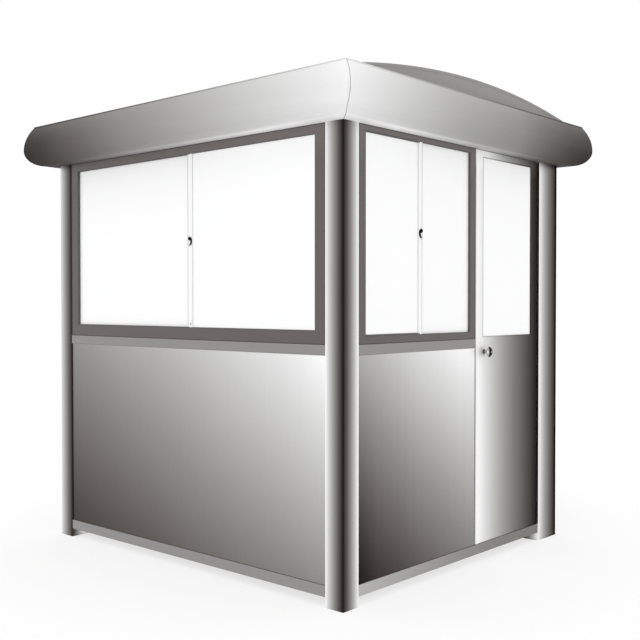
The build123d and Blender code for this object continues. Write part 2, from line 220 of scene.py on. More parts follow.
GRAIN, given, result = new_group(
    "brushed grain",
    {"Position": (0, 0, 0), "Fineness": (1, 1, 1), "Depth": 1.0},
    {"Grain": "Float", "Height": "Float"},
)
fine_place = vector_calc(GRAIN, "MULTIPLY", given["Position"], given["Fineness"])
wide_place = vector_calc(GRAIN, "MULTIPLY", fine_place, STREAK_FINENESS)
scratches = noise(GRAIN, fine_place, 1.0, Detail=3.0)
streaks = noise(GRAIN, wide_place, 1.0, Detail=4.0)
grain = between(GRAIN, scratches, streaks, STREAK_SHARE)
height = calc(GRAIN, "MULTIPLY", grain, given["Depth"])
fill(GRAIN, result, {"Grain": grain, "Height": height})
print("group made:", GRAIN.name)

# %% [markdown]
# ## Painted shade fields
# The bright sheet metal has its light and shade painted into its colour, as long soft fades of
# painted shade and painted highlight. A tone of 0 is black and 1 is white as the eye sees them. On
# a flat sheet one fade runs along its low edge and another along its high edge, and everything
# between is blended. A box post has another fade, which runs round the post from its outer corner.

# %% Groups: place on a wall, distance round a post
WALL_PLACE, given, result = new_group(
    "place on a wall",
    {
        "Position": (0, 0, 0), "Direction": (1, 0, 0),
        "Start": 0.0, "End": 1.0, "Low": 0.0, "High": 1.0,
    },
    {"Along": "Float", "Up": "Float"},
)
run = vector_calc(WALL_PLACE, "DOT_PRODUCT", given["Position"], given["Direction"])
rise = vector_calc(WALL_PLACE, "DOT_PRODUCT", given["Position"], (0, 0, 1))
along = add(WALL_PLACE, "MapRange", {0: run, 1: given["Start"], 2: given["End"]})
up = add(WALL_PLACE, "MapRange", {0: rise, 1: given["Low"], 2: given["High"]})
fill(WALL_PLACE, result, {"Along": along.outputs[0], "Up": up.outputs[0]})

ROUND_POST, given, result = new_group(
    "distance round a post",
    {"Position": (0, 0, 0), "Corner": (0, 0, 0), "Faces": (1, 1, 1)},
    {"Distance": "Float"},
)
from_corner = vector_calc(ROUND_POST, "SUBTRACT", given["Position"], given["Corner"])
in_faces = vector_calc(ROUND_POST, "DIVIDE", from_corner, given["Faces"])
shares = parts_of(ROUND_POST, vector_calc(ROUND_POST, "ABSOLUTE", in_faces))
fill(ROUND_POST, result, {"Distance": calc(ROUND_POST, "ADD", shares[0], shares[1])})
print("groups made:", WALL_PLACE.name, "/", ROUND_POST.name)

# %% [markdown]
# ## From a tone to a metal colour
# The tone that the group takes carries each part's painted shade and painted highlights. The colour
# is neutral where the tone is bright and slightly warm where it is dark, painted shade included. The
# group adds the grain and the wiping marks to the tone. A ramp then gives the warmth for that tone:
# a little more red and a little less blue. It is kept round a middle grey, because a ramp holds no
# negative numbers. The last step raises the colour to the power that turns a tone as seen into
# light as the renderer counts it.

# %% Group: metal colour
# each a tone, with how much red is added and how much blue is taken away there
WARMTH = ((0.0, 0.021, 0.014), (0.42, 0.018, 0.012), (0.6, 0.004, 0.007), (0.92, 0.0, 0.0))
MIDDLE = 0.5
SEEN_TO_LIGHT = 2.2

METAL, given, result = new_group(
    "metal colour",
    {"Tone": 0.5, "Grain": 0.5, "Grain strength": 0.04, "Marks": 0.5, "Mark strength": 0.02},
    {"Color": "Color"},
)
effects = [
    calc(METAL, "MULTIPLY", calc(METAL, "SUBTRACT", given[effect], MIDDLE), given[strength])
    for effect, strength in (("Grain", "Grain strength"), ("Marks", "Mark strength"))
]
full_tone = calc(METAL, "ADD", given["Tone"], calc(METAL, "ADD", *effects), clamp=True)
warmth = add(METAL, "ValToRGB", {0: full_tone})
stops = warmth.color_ramp.elements
for place, _, _ in WARMTH[1:-1]:
    stops.new(place)
for stop, (place, red, blue) in zip(stops, WARMTH):
    stop.position = place
    stop.color = (MIDDLE + red, MIDDLE, MIDDLE - blue, 1)
shift = vector_calc(METAL, "SUBTRACT", warmth.outputs[0], (MIDDLE, MIDDLE, MIDDLE))
seen = vector_calc(METAL, "MAXIMUM", vector_calc(METAL, "ADD", shift, full_tone), (0, 0, 0))
fill(METAL, result, {"Color": add(METAL, "Gamma", {0: seen, 1: SEEN_TO_LIGHT}).outputs[0]})
print("group made:", METAL.name)

# %% [markdown]
# ## Handling marks and worn edges
# Nothing outdoors is evenly clean. Cloudy noise stands for wiping marks and a little dust, and
# changes the roughness more than the colour. Edges are found by comparing the true surface
# direction with one rounded over a small radius: they differ only near an edge, where the
# metal is rubbed bright and the coating is rubbed thin.

# %% Groups: handling marks, worn edges
SPECK_FINENESS = 90.0  # how much finer the specks are than the marks
EDGE_GAIN = 6.0
SPECK_FLOOR = 0.3  # so that an edge is worn a little even between specks

MARKS, given, result = new_group(
    "handling marks", {"Position": (0, 0, 0), "Scale": 3.0}, {"Marks": "Float", "Specks": "Float"}
)
clouds = noise(MARKS, given["Position"], given["Scale"], Detail=5.0, Distortion=0.4)
speck_scale = calc(MARKS, "MULTIPLY", given["Scale"], SPECK_FINENESS)
specks = noise(MARKS, given["Position"], speck_scale, Detail=2.0)
fill(MARKS, result, {"Marks": clouds, "Specks": specks})

EDGES, given, result = new_group(
    "worn edges", {"Radius": 0.0015, "Specks": 0.5}, {"Edge": "Float", "Normal": "Vector"}
)
rounded = add(EDGES, "Bevel", {"Radius": given["Radius"]}, samples=4)
true_direction = add(EDGES, "NewGeometry").outputs["Normal"]
alike = vector_calc(EDGES, "DOT_PRODUCT", rounded.outputs[0], true_direction)
nearness = calc(EDGES, "MULTIPLY", calc(EDGES, "SUBTRACT", 1.0, alike), EDGE_GAIN, clamp=True)
speckled = calc(EDGES, "ADD", given["Specks"], SPECK_FLOOR)
patchy = calc(EDGES, "MULTIPLY", nearness, speckled, clamp=True)
fill(EDGES, result, {"Edge": patchy, "Normal": rounded.outputs[0]})
print("groups made:", MARKS.name, "/", EDGES.name)

# %% [markdown]
# ## Painting the CAD
# A CAD node keeps its shape and gets a finish. The helpers start a material with the place of
# each point on the booth at hand, give a material to CAD nodes, and make the brushed steel that
# most of the booth is clad in. Its grain is fine across and coarse along the brushing.


# %% Material helpers
def shader_of(material):
    """The shader of a material."""
    return material.node_tree.nodes["Principled BSDF"]


def new_material(name):
    """A material with its tree, its shader and the place of each point."""
    material = bpy.data.materials.new(name)
    material.use_nodes = True
    tree = material.node_tree
    return material, tree, shader_of(material), add(tree, "TexCoord").outputs["Object"]


def bumpy(tree, height, normal, strength, distance):
    """The surface's direction, roughened by a height."""
    inputs = {"Strength": strength, "Distance": distance, "Height": height, "Normal": normal}
    return add(tree, "Bump", inputs).outputs[0]


def paint(material, *nodes):
    """Give a material to CAD nodes."""
    for node in nodes:
        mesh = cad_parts[node].data
        mesh.materials.clear()
        mesh.materials.append(material)


VERTICAL_GRAIN = (1100, 1100, 5)
GRAIN_ALONG = by_wall((5, 1100, 1100), (1100, 5, 1100))
SATIN = 0.4
EDGE_SHINE = 0.05  # how much brighter a rubbed edge is
FILM_METALLIC, FILM_ROUGHNESS = 0.15, 0.85


def steel(name, tone_of, fineness, roughness=0.34, grain_strength=0.05, film_of=None):
    """Brushed stainless steel, with a matt film where film_of says so.

    tone_of and film_of make the tone and the film's share from the tree and the place.
    """
    material, tree, shader, position = new_material(name)
    grain = use(tree, GRAIN, {"Position": position, "Fineness": fineness, "Depth": 0.4})
    marks = use(tree, MARKS, {"Position": position, "Scale": 2.5})
    edges = use(tree, EDGES, {"Radius": 0.0015, "Specks": marks["Specks"]})
    rubbed = calc(tree, "MULTIPLY", edges["Edge"], EDGE_SHINE)
    colour = use(tree, METAL, {
        "Tone": calc(tree, "ADD", tone_of(tree, position), rubbed),
        "Grain": grain["Grain"],
        "Grain strength": grain_strength,
        "Marks": marks["Marks"],
        "Mark strength": 0.025,
    })
    metallic = 1.0
    rough = between(tree, roughness - 0.06, roughness + 0.08, marks["Marks"])
    if film_of:
        film = film_of(tree, position)
        metallic = between(tree, metallic, FILM_METALLIC, film)
        rough = between(tree, rough, FILM_ROUGHNESS, film)
    fill(tree, shader, {
        "Base Color": colour["Color"],
        "Metallic": metallic,
        "Roughness": rough,
        "Normal": bumpy(tree, grain["Height"], edges["Normal"], 0.2, 0.0004),
    })
    return material


def clad(node, tone_of, fineness, **settings):
    """Give a CAD node a brushed steel of its own."""
    material = steel("steel of " + node, tone_of, fineness, **settings)
    paint(material, node)
    return material


print("material helpers ready")

# %% [markdown]
# ## Corner posts
# Each post is a folded box of brushed stainless steel with painted shade: its colour runs from dark
# to bright round the post, with a painted highlight strip at the fold next to the wall. Three posts
# are painted darkest at the booth's corner, and the front left one darkest at the wall. Places from
# 0 to 1 run over an outer side and from 1 to 2 over the side after it, which is painted dark where
# it closes the door's gap. Under the base rails that side is open to the floor's light, and has its
# own painted fade. The door's post is seen along its face, and has half of the glare taken off.

# %% Finish: corner posts
# painted shade round the posts, each a place and a tone
CORNER_PAINTED_SHADE = ((0.0, 0.11), (0.06, 0.19), (0.90, 0.92), (0.95, 1.0), (1.0, 1.0))
DOOR_POST_PAINTED_SHADE = (
    (0.0, 0.0), (0.05, 0.0), (0.09, 0.14), (0.155, 0.265),
    (0.31, 0.405), (0.62, 0.645), (0.96, 0.98), (1.005, 0.98),
)
LEFT_POST_PAINTED_SHADE = ((0.0, 0.85), (0.12, 0.82), (0.75, 0.37), (0.83, 0.315), (0.90, 0.23))
POST_PAINTED_SHADES = {
    "post_front_right": CORNER_PAINTED_SHADE,
    "post_door": (*DOOR_POST_PAINTED_SHADE, (1.01, 0.10), (1.045, 0.10), (1.06, 0.90), (2.0, 0.50)),
    "post_back_left": CORNER_PAINTED_SHADE,
    "post_front_left": (*LEFT_POST_PAINTED_SHADE, (1.0, 0.20), (2.0, 0.20)),
}
FOOT_PAINTED_SHADES = {
    **POST_PAINTED_SHADES,
    "post_door": (*DOOR_POST_PAINTED_SHADE, (1.05, 1.0), (1.2, 0.90), (1.5, 0.55), (2.0, 0.08)),
    "post_front_left": (*LEFT_POST_PAINTED_SHADE, (1.0, 0.20), (1.5, 0.80), (1.8, 1.0)),
}
RAIL_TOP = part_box("base_rail_front")[1].z
HALF_GLARE = (0.5, 0.5, 0.5, 1)


def painted_post_shade(node):
    """A painted shade that runs round one post, from its outer corner."""
    low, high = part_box(node)
    corner = (high.x if high.x > 0 else low.x, high.y if high.y > 0 else low.y, 0.0)
    faces = (high.x - low.x, high.y - low.y, 1.0)

    def tone_of(tree, position):
        place = use(tree, ROUND_POST, {"Position": position, "Corner": corner, "Faces": faces})
        share = calc(tree, "MULTIPLY", place["Distance"], 0.5)
        height = vector_calc(tree, "DOT_PRODUCT", position, (0, 0, 1))
        tones = [
            fade(tree, share, [(place / 2, tone) for place, tone in fades[node]])
            for fades in (POST_PAINTED_SHADES, FOOT_PAINTED_SHADES)
        ]
        return between(tree, *tones, calc(tree, "LESS_THAN", height, RAIL_TOP))

    return tone_of


post_steels = {node: clad(node, painted_post_shade(node), VERTICAL_GRAIN) for node in POST_PAINTED_SHADES}
shader_of(post_steels["post_door"]).inputs["Specular Tint"].default_value = HALF_GLARE
print("posts painted:", len(POST_PAINTED_SHADES))

# %% [markdown]
# ## Lower wall panels, sills and base rails
# The panels are large sheets with a strong painted shade across them, from a dark low corner to a
# bright high one. The sills and base rails are plain satin tubes, brushed along their length, and
# the rails of the right and left walls are painted darker along them.


# %% Finish: panels, sills and rails
def place_on(tree, position, node, wall):
    """How far along and how far up a sheet a point is, each from 0 to 1."""
    low, high = wall_box(node, wall)
    return use(tree, WALL_PLACE, {
        "Position": position,
        "Direction": WALLS[wall]["along"],
        "Start": low.x,
        "End": high.x,
        "Low": low.z,
        "High": high.z,
    })


def sheet_tone(node, wall, low_stops, high_stops=None, band=None):
    """A tone blended between the fades along a sheet's low and high edges; most of these fades
    are painted shade and painted highlight.

    band is a fade from the low edge to the high edge, which is added to the tone as painted light.
    """

    def tone_of(tree, position):
        place = place_on(tree, position, node, wall)
        tone = fade(tree, place["Along"], low_stops)
        if high_stops:
            tone = between(tree, tone, fade(tree, place["Along"], high_stops), place["Up"])
        if band:
            tone = calc(tree, "ADD", tone, fade(tree, place["Up"], band))
        return tone

    return tone_of


# painted shade on the lower panels, along the low edge and along the high edge
WIDE_PANEL_PAINTED_SHADE = (
    ((0.0, 0.25), (1.0, 0.565)),
    ((0.0, 0.57), (0.5, 0.745), (0.85, 0.905), (1.0, 1.0)),
)
NARROW_PANEL_PAINTED_SHADE = (
    ((0.0, 0.075), (0.14, 0.20), (0.5, 0.355), (1.0, 0.53)),
    ((0.0, 0.68), (0.5, 0.875), (0.85, 0.975), (1.0, 0.985)),
)
PANEL_PAINTED_SHADES = by_wall(WIDE_PANEL_PAINTED_SHADE, NARROW_PANEL_PAINTED_SHADE)
SILL_FADE = ((0.0, 0.578), (1.0, 0.578))
# even on the wide walls' rails, painted shade along the narrow walls' rails
RAIL_FADES = by_wall(((0.0, 0.59), (1.0, 0.59)), ((0.0, 0.73), (0.5, 0.575), (1.0, 0.465)))

for wall in WALLS:
    panel, sill, rail = "wall_panel_" + wall, "sill_" + wall, "base_rail_" + wall
    clad(panel, sheet_tone(panel, wall, *PANEL_PAINTED_SHADES[wall]), VERTICAL_GRAIN)
    clad(sill, sheet_tone(sill, wall, SILL_FADE), GRAIN_ALONG[wall], roughness=SATIN)
    clad(rail, sheet_tone(rail, wall, RAIL_FADES[wall]), GRAIN_ALONG[wall], roughness=SATIN)
print("walls painted:", len(WALLS))

# %% [markdown]
# ## Fascia
# The fascia is rolled over a former to its bull nose and brushed along its length. Its shade is
# painted: the front and right pieces are painted bright at the near corner and dark at their far
# ends, and the back and left pieces the same the other way round, so that the painted shades meet
# at every corner. Beside the dark mitres the steel is painted darker still. Rain never washes the
# underside, and a matt film of dust stays on it; the lowest part of the fascia is also painted
# paler, as painted light against the shade under it.

# %% Finish: fascia
# painted shade and painted highlight along the fascia pieces, at the low and the high edge
RISING_FASCIA = (
    ((0.0, 0.10), (0.07, 0.18), (0.14, 0.275), (0.36, 0.50), (0.5, 0.60), (1.0, 0.92)),
    ((0.0, 0.20), (0.14, 0.375), (0.36, 0.57), (0.5, 0.65), (1.0, 1.0)),
)
FALLING_FASCIA = (
    ((0.0, 0.91), (0.36, 0.66), (0.64, 0.52), (1.0, 0.08)),
    ((0.0, 0.99), (0.36, 0.725), (0.64, 0.58), (1.0, 0.19)),
)
FASCIA_PAINTED_SHADES = by_wall(RISING_FASCIA, FALLING_FASCIA)
DARK_END = by_wall(1, -1)  # 1 where a piece starts dark, -1 where it ends dark
FILM_STOPS = ((0.0, 1.0), (0.14, 0.9), (0.42, 0.0))  # the film's share, up the fascia
UNDERSIDE_PAINTED_LIGHT = (  # painted light: how much paler the steel is painted, up the fascia
    (0.0, 0.32), (0.004, 0.20), (0.012, 0.11), (0.023, 0.085),
    (0.052, 0.07), (0.09, 0.04), (0.3, 0.015), (0.5, 0.0),
)
MITRE_SHADE_REACH = 0.025
MITRE_PAINTED_SHADE = ((0.0, 0.40), (0.36, 0.45), (0.5, 0.85), (1.0, 1.0))  # painted shade, away from a dark mitre


def film_under(node, wall):
    """The share of dust film at a point on a sheet that rolls under."""
    return lambda tree, position: fade(tree, place_on(tree, position, node, wall)["Up"], FILM_STOPS)


def painted_mitre_shade(wall):
    """A painted shade: a factor that is below 1 beside a fascia piece's dark mitre."""
    facing, along = Vector(WALLS[wall]["facing"]), Vector(WALLS[wall]["along"])
    half_length = by_wall(HALF_WIDTH, HALF_DEPTH)[wall]

    def factor_of(tree, position):
        slanted = vector_calc(tree, "DOT_PRODUCT", position, facing + along * DARK_END[wall])
        away = calc(tree, "ADD", slanted, half_length - WALLS[wall]["out"])
        return fade(tree, calc(tree, "DIVIDE", away, MITRE_SHADE_REACH), MITRE_PAINTED_SHADE)

    return factor_of


def fascia_tone(node, wall, stops):
    """The painted shade along a fascia piece, with the painted light low on it and the painted
    shade beside its mitre.
    """

    def tone_of(tree, position):
        tone = sheet_tone(node, wall, *stops)(tree, position)
        gain = fade(tree, place_on(tree, position, node, wall)["Up"], UNDERSIDE_PAINTED_LIGHT)
        # painted light that makes the lowest part of the fascia paler
        lifted = calc(tree, "MULTIPLY_ADD", tone, gain, tone)
        return calc(tree, "MULTIPLY", lifted, painted_mitre_shade(wall)(tree, position))

    return tone_of


for wall, stops in FASCIA_PAINTED_SHADES.items():
    node = "fascia_" + wall
    clad(
        node,
        fascia_tone(node, wall, stops),
        GRAIN_ALONG[wall],
        grain_strength=0.03,
        film_of=film_under(node, wall),
    )
print("fascia painted")

# %% [markdown]
# ## Door
# The leaf is one sheet with painted shade: white near its free edge, with a fine painted grey line
# where the sheet folds back there, almost black at its hinged edge, and painted paler along its
# head. A folded strip runs round its free edge, head and foot and closes the gap that the leaf
# needs to swing. It has the leaf's own finish, and is made with the trim further down.

# %% Finish: door leaf
# painted shade across the leaf, and painted light along its head
DOOR_PAINTED_SHADE = (
    (0.0, 0.76), (0.004, 0.84), (0.0085, 0.99), (0.03, 0.985), (0.08, 0.96), (0.19, 0.868),
    (0.365, 0.72), (0.54, 0.58), (0.715, 0.44), (0.89, 0.265), (1.0, 0.04),
)
HEAD_PAINTED_LIGHT = ((0.0, 0.0), (0.95, 0.0), (0.985, 0.12), (1.0, 0.12))
painted_leaf_shade = sheet_tone("door_leaf", "right", DOOR_PAINTED_SHADE, band=HEAD_PAINTED_LIGHT)
LEAF_STEEL = steel("steel of the door leaf", painted_leaf_shade, VERTICAL_GRAIN, roughness=0.65)
paint(LEAF_STEEL, "door_leaf")
print("door painted")

# %% [markdown]
# ## Coated parts
# The window frames are aluminium with a brown-grey powder coat, which has a fine orange-peel
# surface and rubs thin along its edges. The same recipe in other colours gives the white stiles,
# the roof, the parts inside, and the rubber and sealant of the trim. Under the eaves the frames'
# coat is painted paler, as painted light against the shade there. On the roof, dirt lies in the lap
# joints of its three sheets and in faint streaks down the slope.

# %% Finish: powder coat
EAVES_LIGHT_REACH = 0.16  # how far the painted light goes down from the eaves
# what the coat's colour is multiplied by
CLOUDED, CLEAR, PAINTED_EAVES_LIGHT, DIRTY = 0.95, 1.05, 2.2, 0.45


def grey(value):
    """A neutral colour."""
    return (value, value, value)


def coated(
    name, colour, worn_colour, roughness, peel=900.0, peel_depth=0.3, wear=0.35, film=0.0, dirt_of=None
):
    """A powder coat or paint, with orange peel, faint clouds and thin edges.

    film is how much paler the coat is painted from well below the eaves up to them, as painted
    light against the shade under the eaves, and dirt_of makes the share of dirt from the tree and
    the place.
    """

    def shade(factor):
        return tuple(min(1.0, c * factor) for c in colour)

    material, tree, shader, position = new_material(name)
    marks = use(tree, MARKS, {"Position": position, "Scale": 4.0})
    edges = use(tree, EDGES, {"Radius": 0.0012, "Specks": marks["Specks"]})
    coat = blend_colours(tree, shade(CLOUDED), shade(CLEAR), marks["Marks"])
    # painted light: the coat is painted paler up to the eaves
    if film:
        height = parts_of(tree, position)[2]
        eaves_light = add(tree, "MapRange", {0: height, 1: EAVES - EAVES_LIGHT_REACH, 2: EAVES, 3: 0.0, 4: film})
        coat = blend_colours(tree, coat, shade(PAINTED_EAVES_LIGHT), eaves_light.outputs[0])
    if dirt_of:
        coat = blend_colours(tree, coat, shade(DIRTY), dirt_of(tree, position))
    thin = calc(tree, "MULTIPLY", edges["Edge"], wear)
    skin = noise(tree, position, peel, Detail=2.0)
    fill(tree, shader, {
        "Base Color": blend_colours(tree, coat, worn_colour, thin),
        "Roughness": between(tree, roughness - 0.05, roughness + 0.07, marks["Marks"]),
        "Normal": bumpy(tree, skin, edges["Normal"], peel_depth, 0.0003),
    })
    return material


print("powder coat recipe ready")

# %% Finish: dirt on the roof
LAP_PLACE = 0.37  # the roof sheets' two lap joints, from the booth's middle
JOINT_REACH = 0.010
JOINT_STOPS = ((0.0, 0.9), (0.25, 0.9), (0.35, 0.25), (1.0, 0.0))  # away from a joint
STREAK_SCALE = (26.0, 1.6, 1.6)
STREAK_STOPS = ((0.35, 0.0), (0.75, 0.22))


def roof_dirt(tree, position):
    """Dirt in the roof's lap joints, and rain streaks from the ridge to the eaves."""
    from_middle = calc(tree, "ABSOLUTE", parts_of(tree, position)[0])
    from_lap = calc(tree, "ABSOLUTE", calc(tree, "SUBTRACT", from_middle, LAP_PLACE))
    in_joint = fade(tree, calc(tree, "DIVIDE", from_lap, JOINT_REACH), JOINT_STOPS)
    drawn_out = add(tree, "Mapping", {"Vector": position, "Scale": STREAK_SCALE}).outputs[0]
    streak = fade(tree, noise(tree, drawn_out, 1.0, Detail=6.0), STREAK_STOPS)
    return calc(tree, "MAXIMUM", in_joint, streak)


print("roof dirt ready")

# %% Finish: coated parts
WORN_ROOF = (0.40, 0.40, 0.39)
FRAME_COAT = coated(
    "brown-grey powder coat", (0.105, 0.090, 0.087), (0.19, 0.17, 0.165), 0.45, film=0.4
)
WHITE_COAT = coated("white powder coat", grey(0.96), (0.86, 0.86, 0.85), 0.40)
ROOF_COAT = coated("grey roof coat", (0.275, 0.270, 0.262), WORN_ROOF, 0.5)
ROOF_SHEETS = coated("grey roof sheets", (0.295, 0.290, 0.282), WORN_ROOF, 0.5, dirt_of=roof_dirt)
PRIMER = coated("grey primer", grey(0.27), grey(0.4), 0.6)
CEILING_COAT = coated("white ceiling coat", (0.80, 0.80, 0.79), (0.7, 0.7, 0.69), 0.5)
LATCH_COAT = coated("matt black", grey(0.003), grey(0.006), 0.7)
shader_of(LATCH_COAT).inputs["Specular IOR Level"].default_value = 0.05
paint(FRAME_COAT, *("window_frame_" + wall for wall in WALLS))
paint(FRAME_COAT, "door_jamb", "door_stop_head", "door_stop_heel")
paint(WHITE_COAT, "meeting_stiles")
paint(ROOF_SHEETS, "roof_vault")
paint(ROOF_COAT, "roof_gable_right", "roof_gable_left")
paint(PRIMER, "ring_beam", "roof_curb")
paint(CEILING_COAT, "ceiling")
paint(LATCH_COAT, "window_latches")
print("coated parts painted")

# %% [markdown]
# ## Opal glass
# The panes are laminated with a white sheet between two clear ones, so they look white and hide
# the inside of the booth, with a hard shine on top.

# %% Finish: opal glass
OPAL, tree, shader, position = new_material("opal glass")
marks = use(tree, MARKS, {"Position": position, "Scale": 1.3})["Marks"]
fill(tree, shader, {
    "Base Color": blend_colours(tree, (0.975, 0.98, 0.98), grey(0.99), marks),
    "Roughness": between(tree, 0.05, 0.16, marks),
    "Coat Weight": calc(tree, "MULTIPLY", marks, 0.5),
    "Coat Roughness": 0.04,
})
paint(OPAL, "door_pane", *("window_panes_" + wall for wall in WALLS))
print("panes painted")

# %% [markdown]
# ## Knobs, pivots and floor
# The knobs are turned and chromed. Chrome shows what is round it, and here that is painted into its
# colour as painted reflection: a knob is painted pale on the side of the leaf's white edge and dark
# at its neck and on the side of the hinges. The place of each painted shade is counted along a
# slanted line, away from the leaf and towards the hinges. The pivot pins are plain turned steel, and
# the floor is sheet vinyl with a small speckle.

# %% Finish: knobs
leaf_low, leaf_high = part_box("door_leaf")
knob_low, knob_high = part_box("door_knob_outer")
LEAF_MIDDLE = (leaf_low.x + leaf_high.x) / 2
HALF_LEAF = (leaf_high.x - leaf_low.x) / 2
KNOB_Y = (knob_low.y + knob_high.y) / 2
KNOB_Z = (knob_low.z + knob_high.z) / 2
KNOB_RADIUS = (knob_high.z - knob_low.z) / 2
KNOB_SLANT = (0.745, 0.667)  # shares of the way out from the leaf and of the way to the hinges
KNOB_START, KNOB_END = -0.005, 0.045
# painted reflection on the chrome, along the slanted line
KNOB_PAINTED_REFLECTION = (
    (0.0, 0.48), (0.10, 0.50), (0.22, 0.62), (0.32, 0.86), (0.42, 0.97),
    (0.50, 0.55), (0.57, 0.18), (0.72, 0.06), (0.90, 0.07),
)
# painted shade, darker from the knob's middle height to its rim
KNOB_RIM_PAINTED_SHADE = ((0.0, 1.0), (0.15, 0.98), (0.4, 0.76), (1.0, 0.72))

CHROME, tree, shader, position = new_material("chrome")
marks = use(tree, MARKS, {"Position": position, "Scale": 40.0})["Marks"]
spot = parts_of(tree, position)
from_middle = calc(tree, "ABSOLUTE", calc(tree, "SUBTRACT", spot[0], LEAF_MIDDLE))
way_out = calc(tree, "MULTIPLY", calc(tree, "SUBTRACT", from_middle, HALF_LEAF), KNOB_SLANT[0])
to_hinges = calc(tree, "MULTIPLY", calc(tree, "SUBTRACT", spot[1], KNOB_Y), KNOB_SLANT[1])
slanted = calc(tree, "ADD", way_out, to_hinges)
reach = add(tree, "MapRange", {0: slanted, 1: KNOB_START, 2: KNOB_END}).outputs[0]
above = calc(tree, "ABSOLUTE", calc(tree, "SUBTRACT", spot[2], KNOB_Z))
off_axis = calc(tree, "DIVIDE", above, KNOB_RADIUS)
painted_knob_reflections = fade(tree, reach, KNOB_PAINTED_REFLECTION), fade(tree, off_axis, KNOB_RIM_PAINTED_SHADE)
painted_knob_reflection = calc(tree, "MULTIPLY", *painted_knob_reflections)
shine = use(tree, METAL, {"Tone": painted_knob_reflection, "Marks": marks, "Mark strength": 0.04})
fill(tree, shader, {
    "Base Color": shine["Color"],
    "Metallic": 1.0,
    "Roughness": between(tree, 0.10, 0.25, marks),
})
paint(CHROME, "door_knob_outer", "door_knob_inner")
print("knobs painted")


# %% Finish: pivots and floor
def even_tone(tone):
    """The same tone all over."""
    return lambda tree, position: calc(tree, "ADD", tone, 0.0)


TURNED_GRAIN = (300, 300, 1500)
paint(steel("turned steel", even_tone(0.7), TURNED_GRAIN, roughness=0.25), "door_pivots")

FLECK_EDGE = 0.55  # a place is a fleck where it lies further than this from a cell's middle
VINYL, tree, shader, position = new_material("floor vinyl")
marks = use(tree, MARKS, {"Position": position, "Scale": 6.0})["Marks"]
cells = add(tree, "TexVoronoi", {"Vector": position, "Scale": 260.0})
flecks = calc(tree, "GREATER_THAN", cells.outputs["Distance"], FLECK_EDGE)
fill(tree, shader, {
    "Base Color": blend_colours(tree, grey(0.17), grey(0.30), calc(tree, "MULTIPLY", flecks, marks)),
    "Roughness": between(tree, 0.4, 0.65, marks),
})
paint(VINYL, "floor")
print("pivots and floor painted")

# %% [markdown]
# ## Finishes for the trim
# The small pieces that follow are rubber gaskets, sealant beads, brush seals and bright steel.
# Rubber and sealant are matt and slightly rough. A brush seal is a dense row of short fibres,
# which the same recipe gives with a deep, fine bump.

# %% Finish: rubber, sealant and brush seals
RUBBER = coated("black rubber", (0.045, 0.043, 0.042), (0.09, 0.09, 0.088), 0.7, peel_depth=0.6)
GREY_RUBBER = coated("grey rubber", (0.100, 0.097, 0.095), (0.14, 0.138, 0.135), 0.7, peel_depth=0.6)
SEALANT = coated("dark sealant", (0.060, 0.055, 0.051), (0.08, 0.075, 0.07), 0.6, wear=0.2)
# the fascia seams' sealant, painted pale at the fascia's bright corners and black at its dark ones
SEALANT_PAINTED_PALE = coated("sealant painted pale", grey(0.40), grey(0.48), 0.6, wear=0.2)
SEALANT_PAINTED_BLACK = coated("sealant painted black", grey(0.03), grey(0.045), 0.6, wear=0.2)
BRISTLES = {"peel": 2500.0, "peel_depth": 0.5}
# two copies of one brush, painted lighter and darker as painted light and shade on the stiles
BRUSH_PAINTED_LIGHTER = coated("brush painted lighter", grey(0.89), grey(0.92), 0.9, wear=0.2, **BRISTLES)
BRUSH_PAINTED_DARKER = coated("brush painted darker", grey(0.77), grey(0.82), 0.9, wear=0.2, **BRISTLES)
NYLON = coated("grey nylon", grey(0.62), grey(0.7), 0.5)
EVEN_GRAIN = (900, 900, 900)
DULL_STEEL = steel("dull steel", even_tone(0.60), EVEN_GRAIN, roughness=0.45)
BRIGHT_STEEL = steel("bright steel", even_tone(0.86), EVEN_GRAIN, roughness=0.35)
print("trim finishes ready")

# %% [markdown]
# ## Helpers for modelling
# Each piece starts from a plane, a cube or a cylinder at its size and place, and is then shaped
# with the same tools that the menus give: inset, extrude, bisect and the modifiers. Operators act
# on whatever is selected, so a piece is always selected alone first, and faces are picked by a
# rule on their place and direction.


# %% Modelling helpers: new pieces
def settle(piece, name):
    """Name a new primitive and write its place into its mesh."""
    piece.name = piece.data.name = name
    bpy.ops.object.transform_apply()
    return piece


def choose(piece):
    """Select a piece alone."""
    bpy.ops.object.select_all(action="DESELECT")
    piece.select_set(True)
    bpy.context.view_layer.objects.active = piece


def new_block(name, low, high):
    """A block between two corners, from a cube."""
    low, high = Vector(low), Vector(high)
    bpy.ops.mesh.primitive_cube_add(size=1, location=(low + high) / 2, scale=high - low)
    return settle(bpy.context.object, name)


def new_sheet(name, low, high, flat=False):
    """A rectangle between two corners, from a plane that faces the front, or up if flat."""
    low, high = Vector(low), Vector(high)
    size = high - low
    tilt = 0.0 if flat else math.pi / 2
    bpy.ops.mesh.primitive_plane_add(size=1, location=(low + high) / 2, rotation=(tilt, 0, 0))
    bpy.context.object.scale = (size.x, size.y if flat else size.z, 1)
    return settle(bpy.context.object, name)


def new_disc(name, centre, radius, depth, vertices=32):
    """A short cylinder that faces the front, round a centre."""
    bpy.ops.mesh.primitive_cylinder_add(
        vertices=vertices, radius=radius, depth=depth, location=centre, rotation=(math.pi / 2, 0, 0)
    )
    return settle(bpy.context.object, name)


def duplicate(piece, name, shift=(0, 0, 0)):
    """A copy with its own mesh, moved by a shift."""
    choose(piece)
    bpy.ops.object.duplicate(linked=False)
    bpy.ops.transform.translate(value=shift)
    return settle(bpy.context.object, name)


print("helpers for new pieces ready")

# %% Modelling helpers: shaping
FRONT = (0, -1, 0)


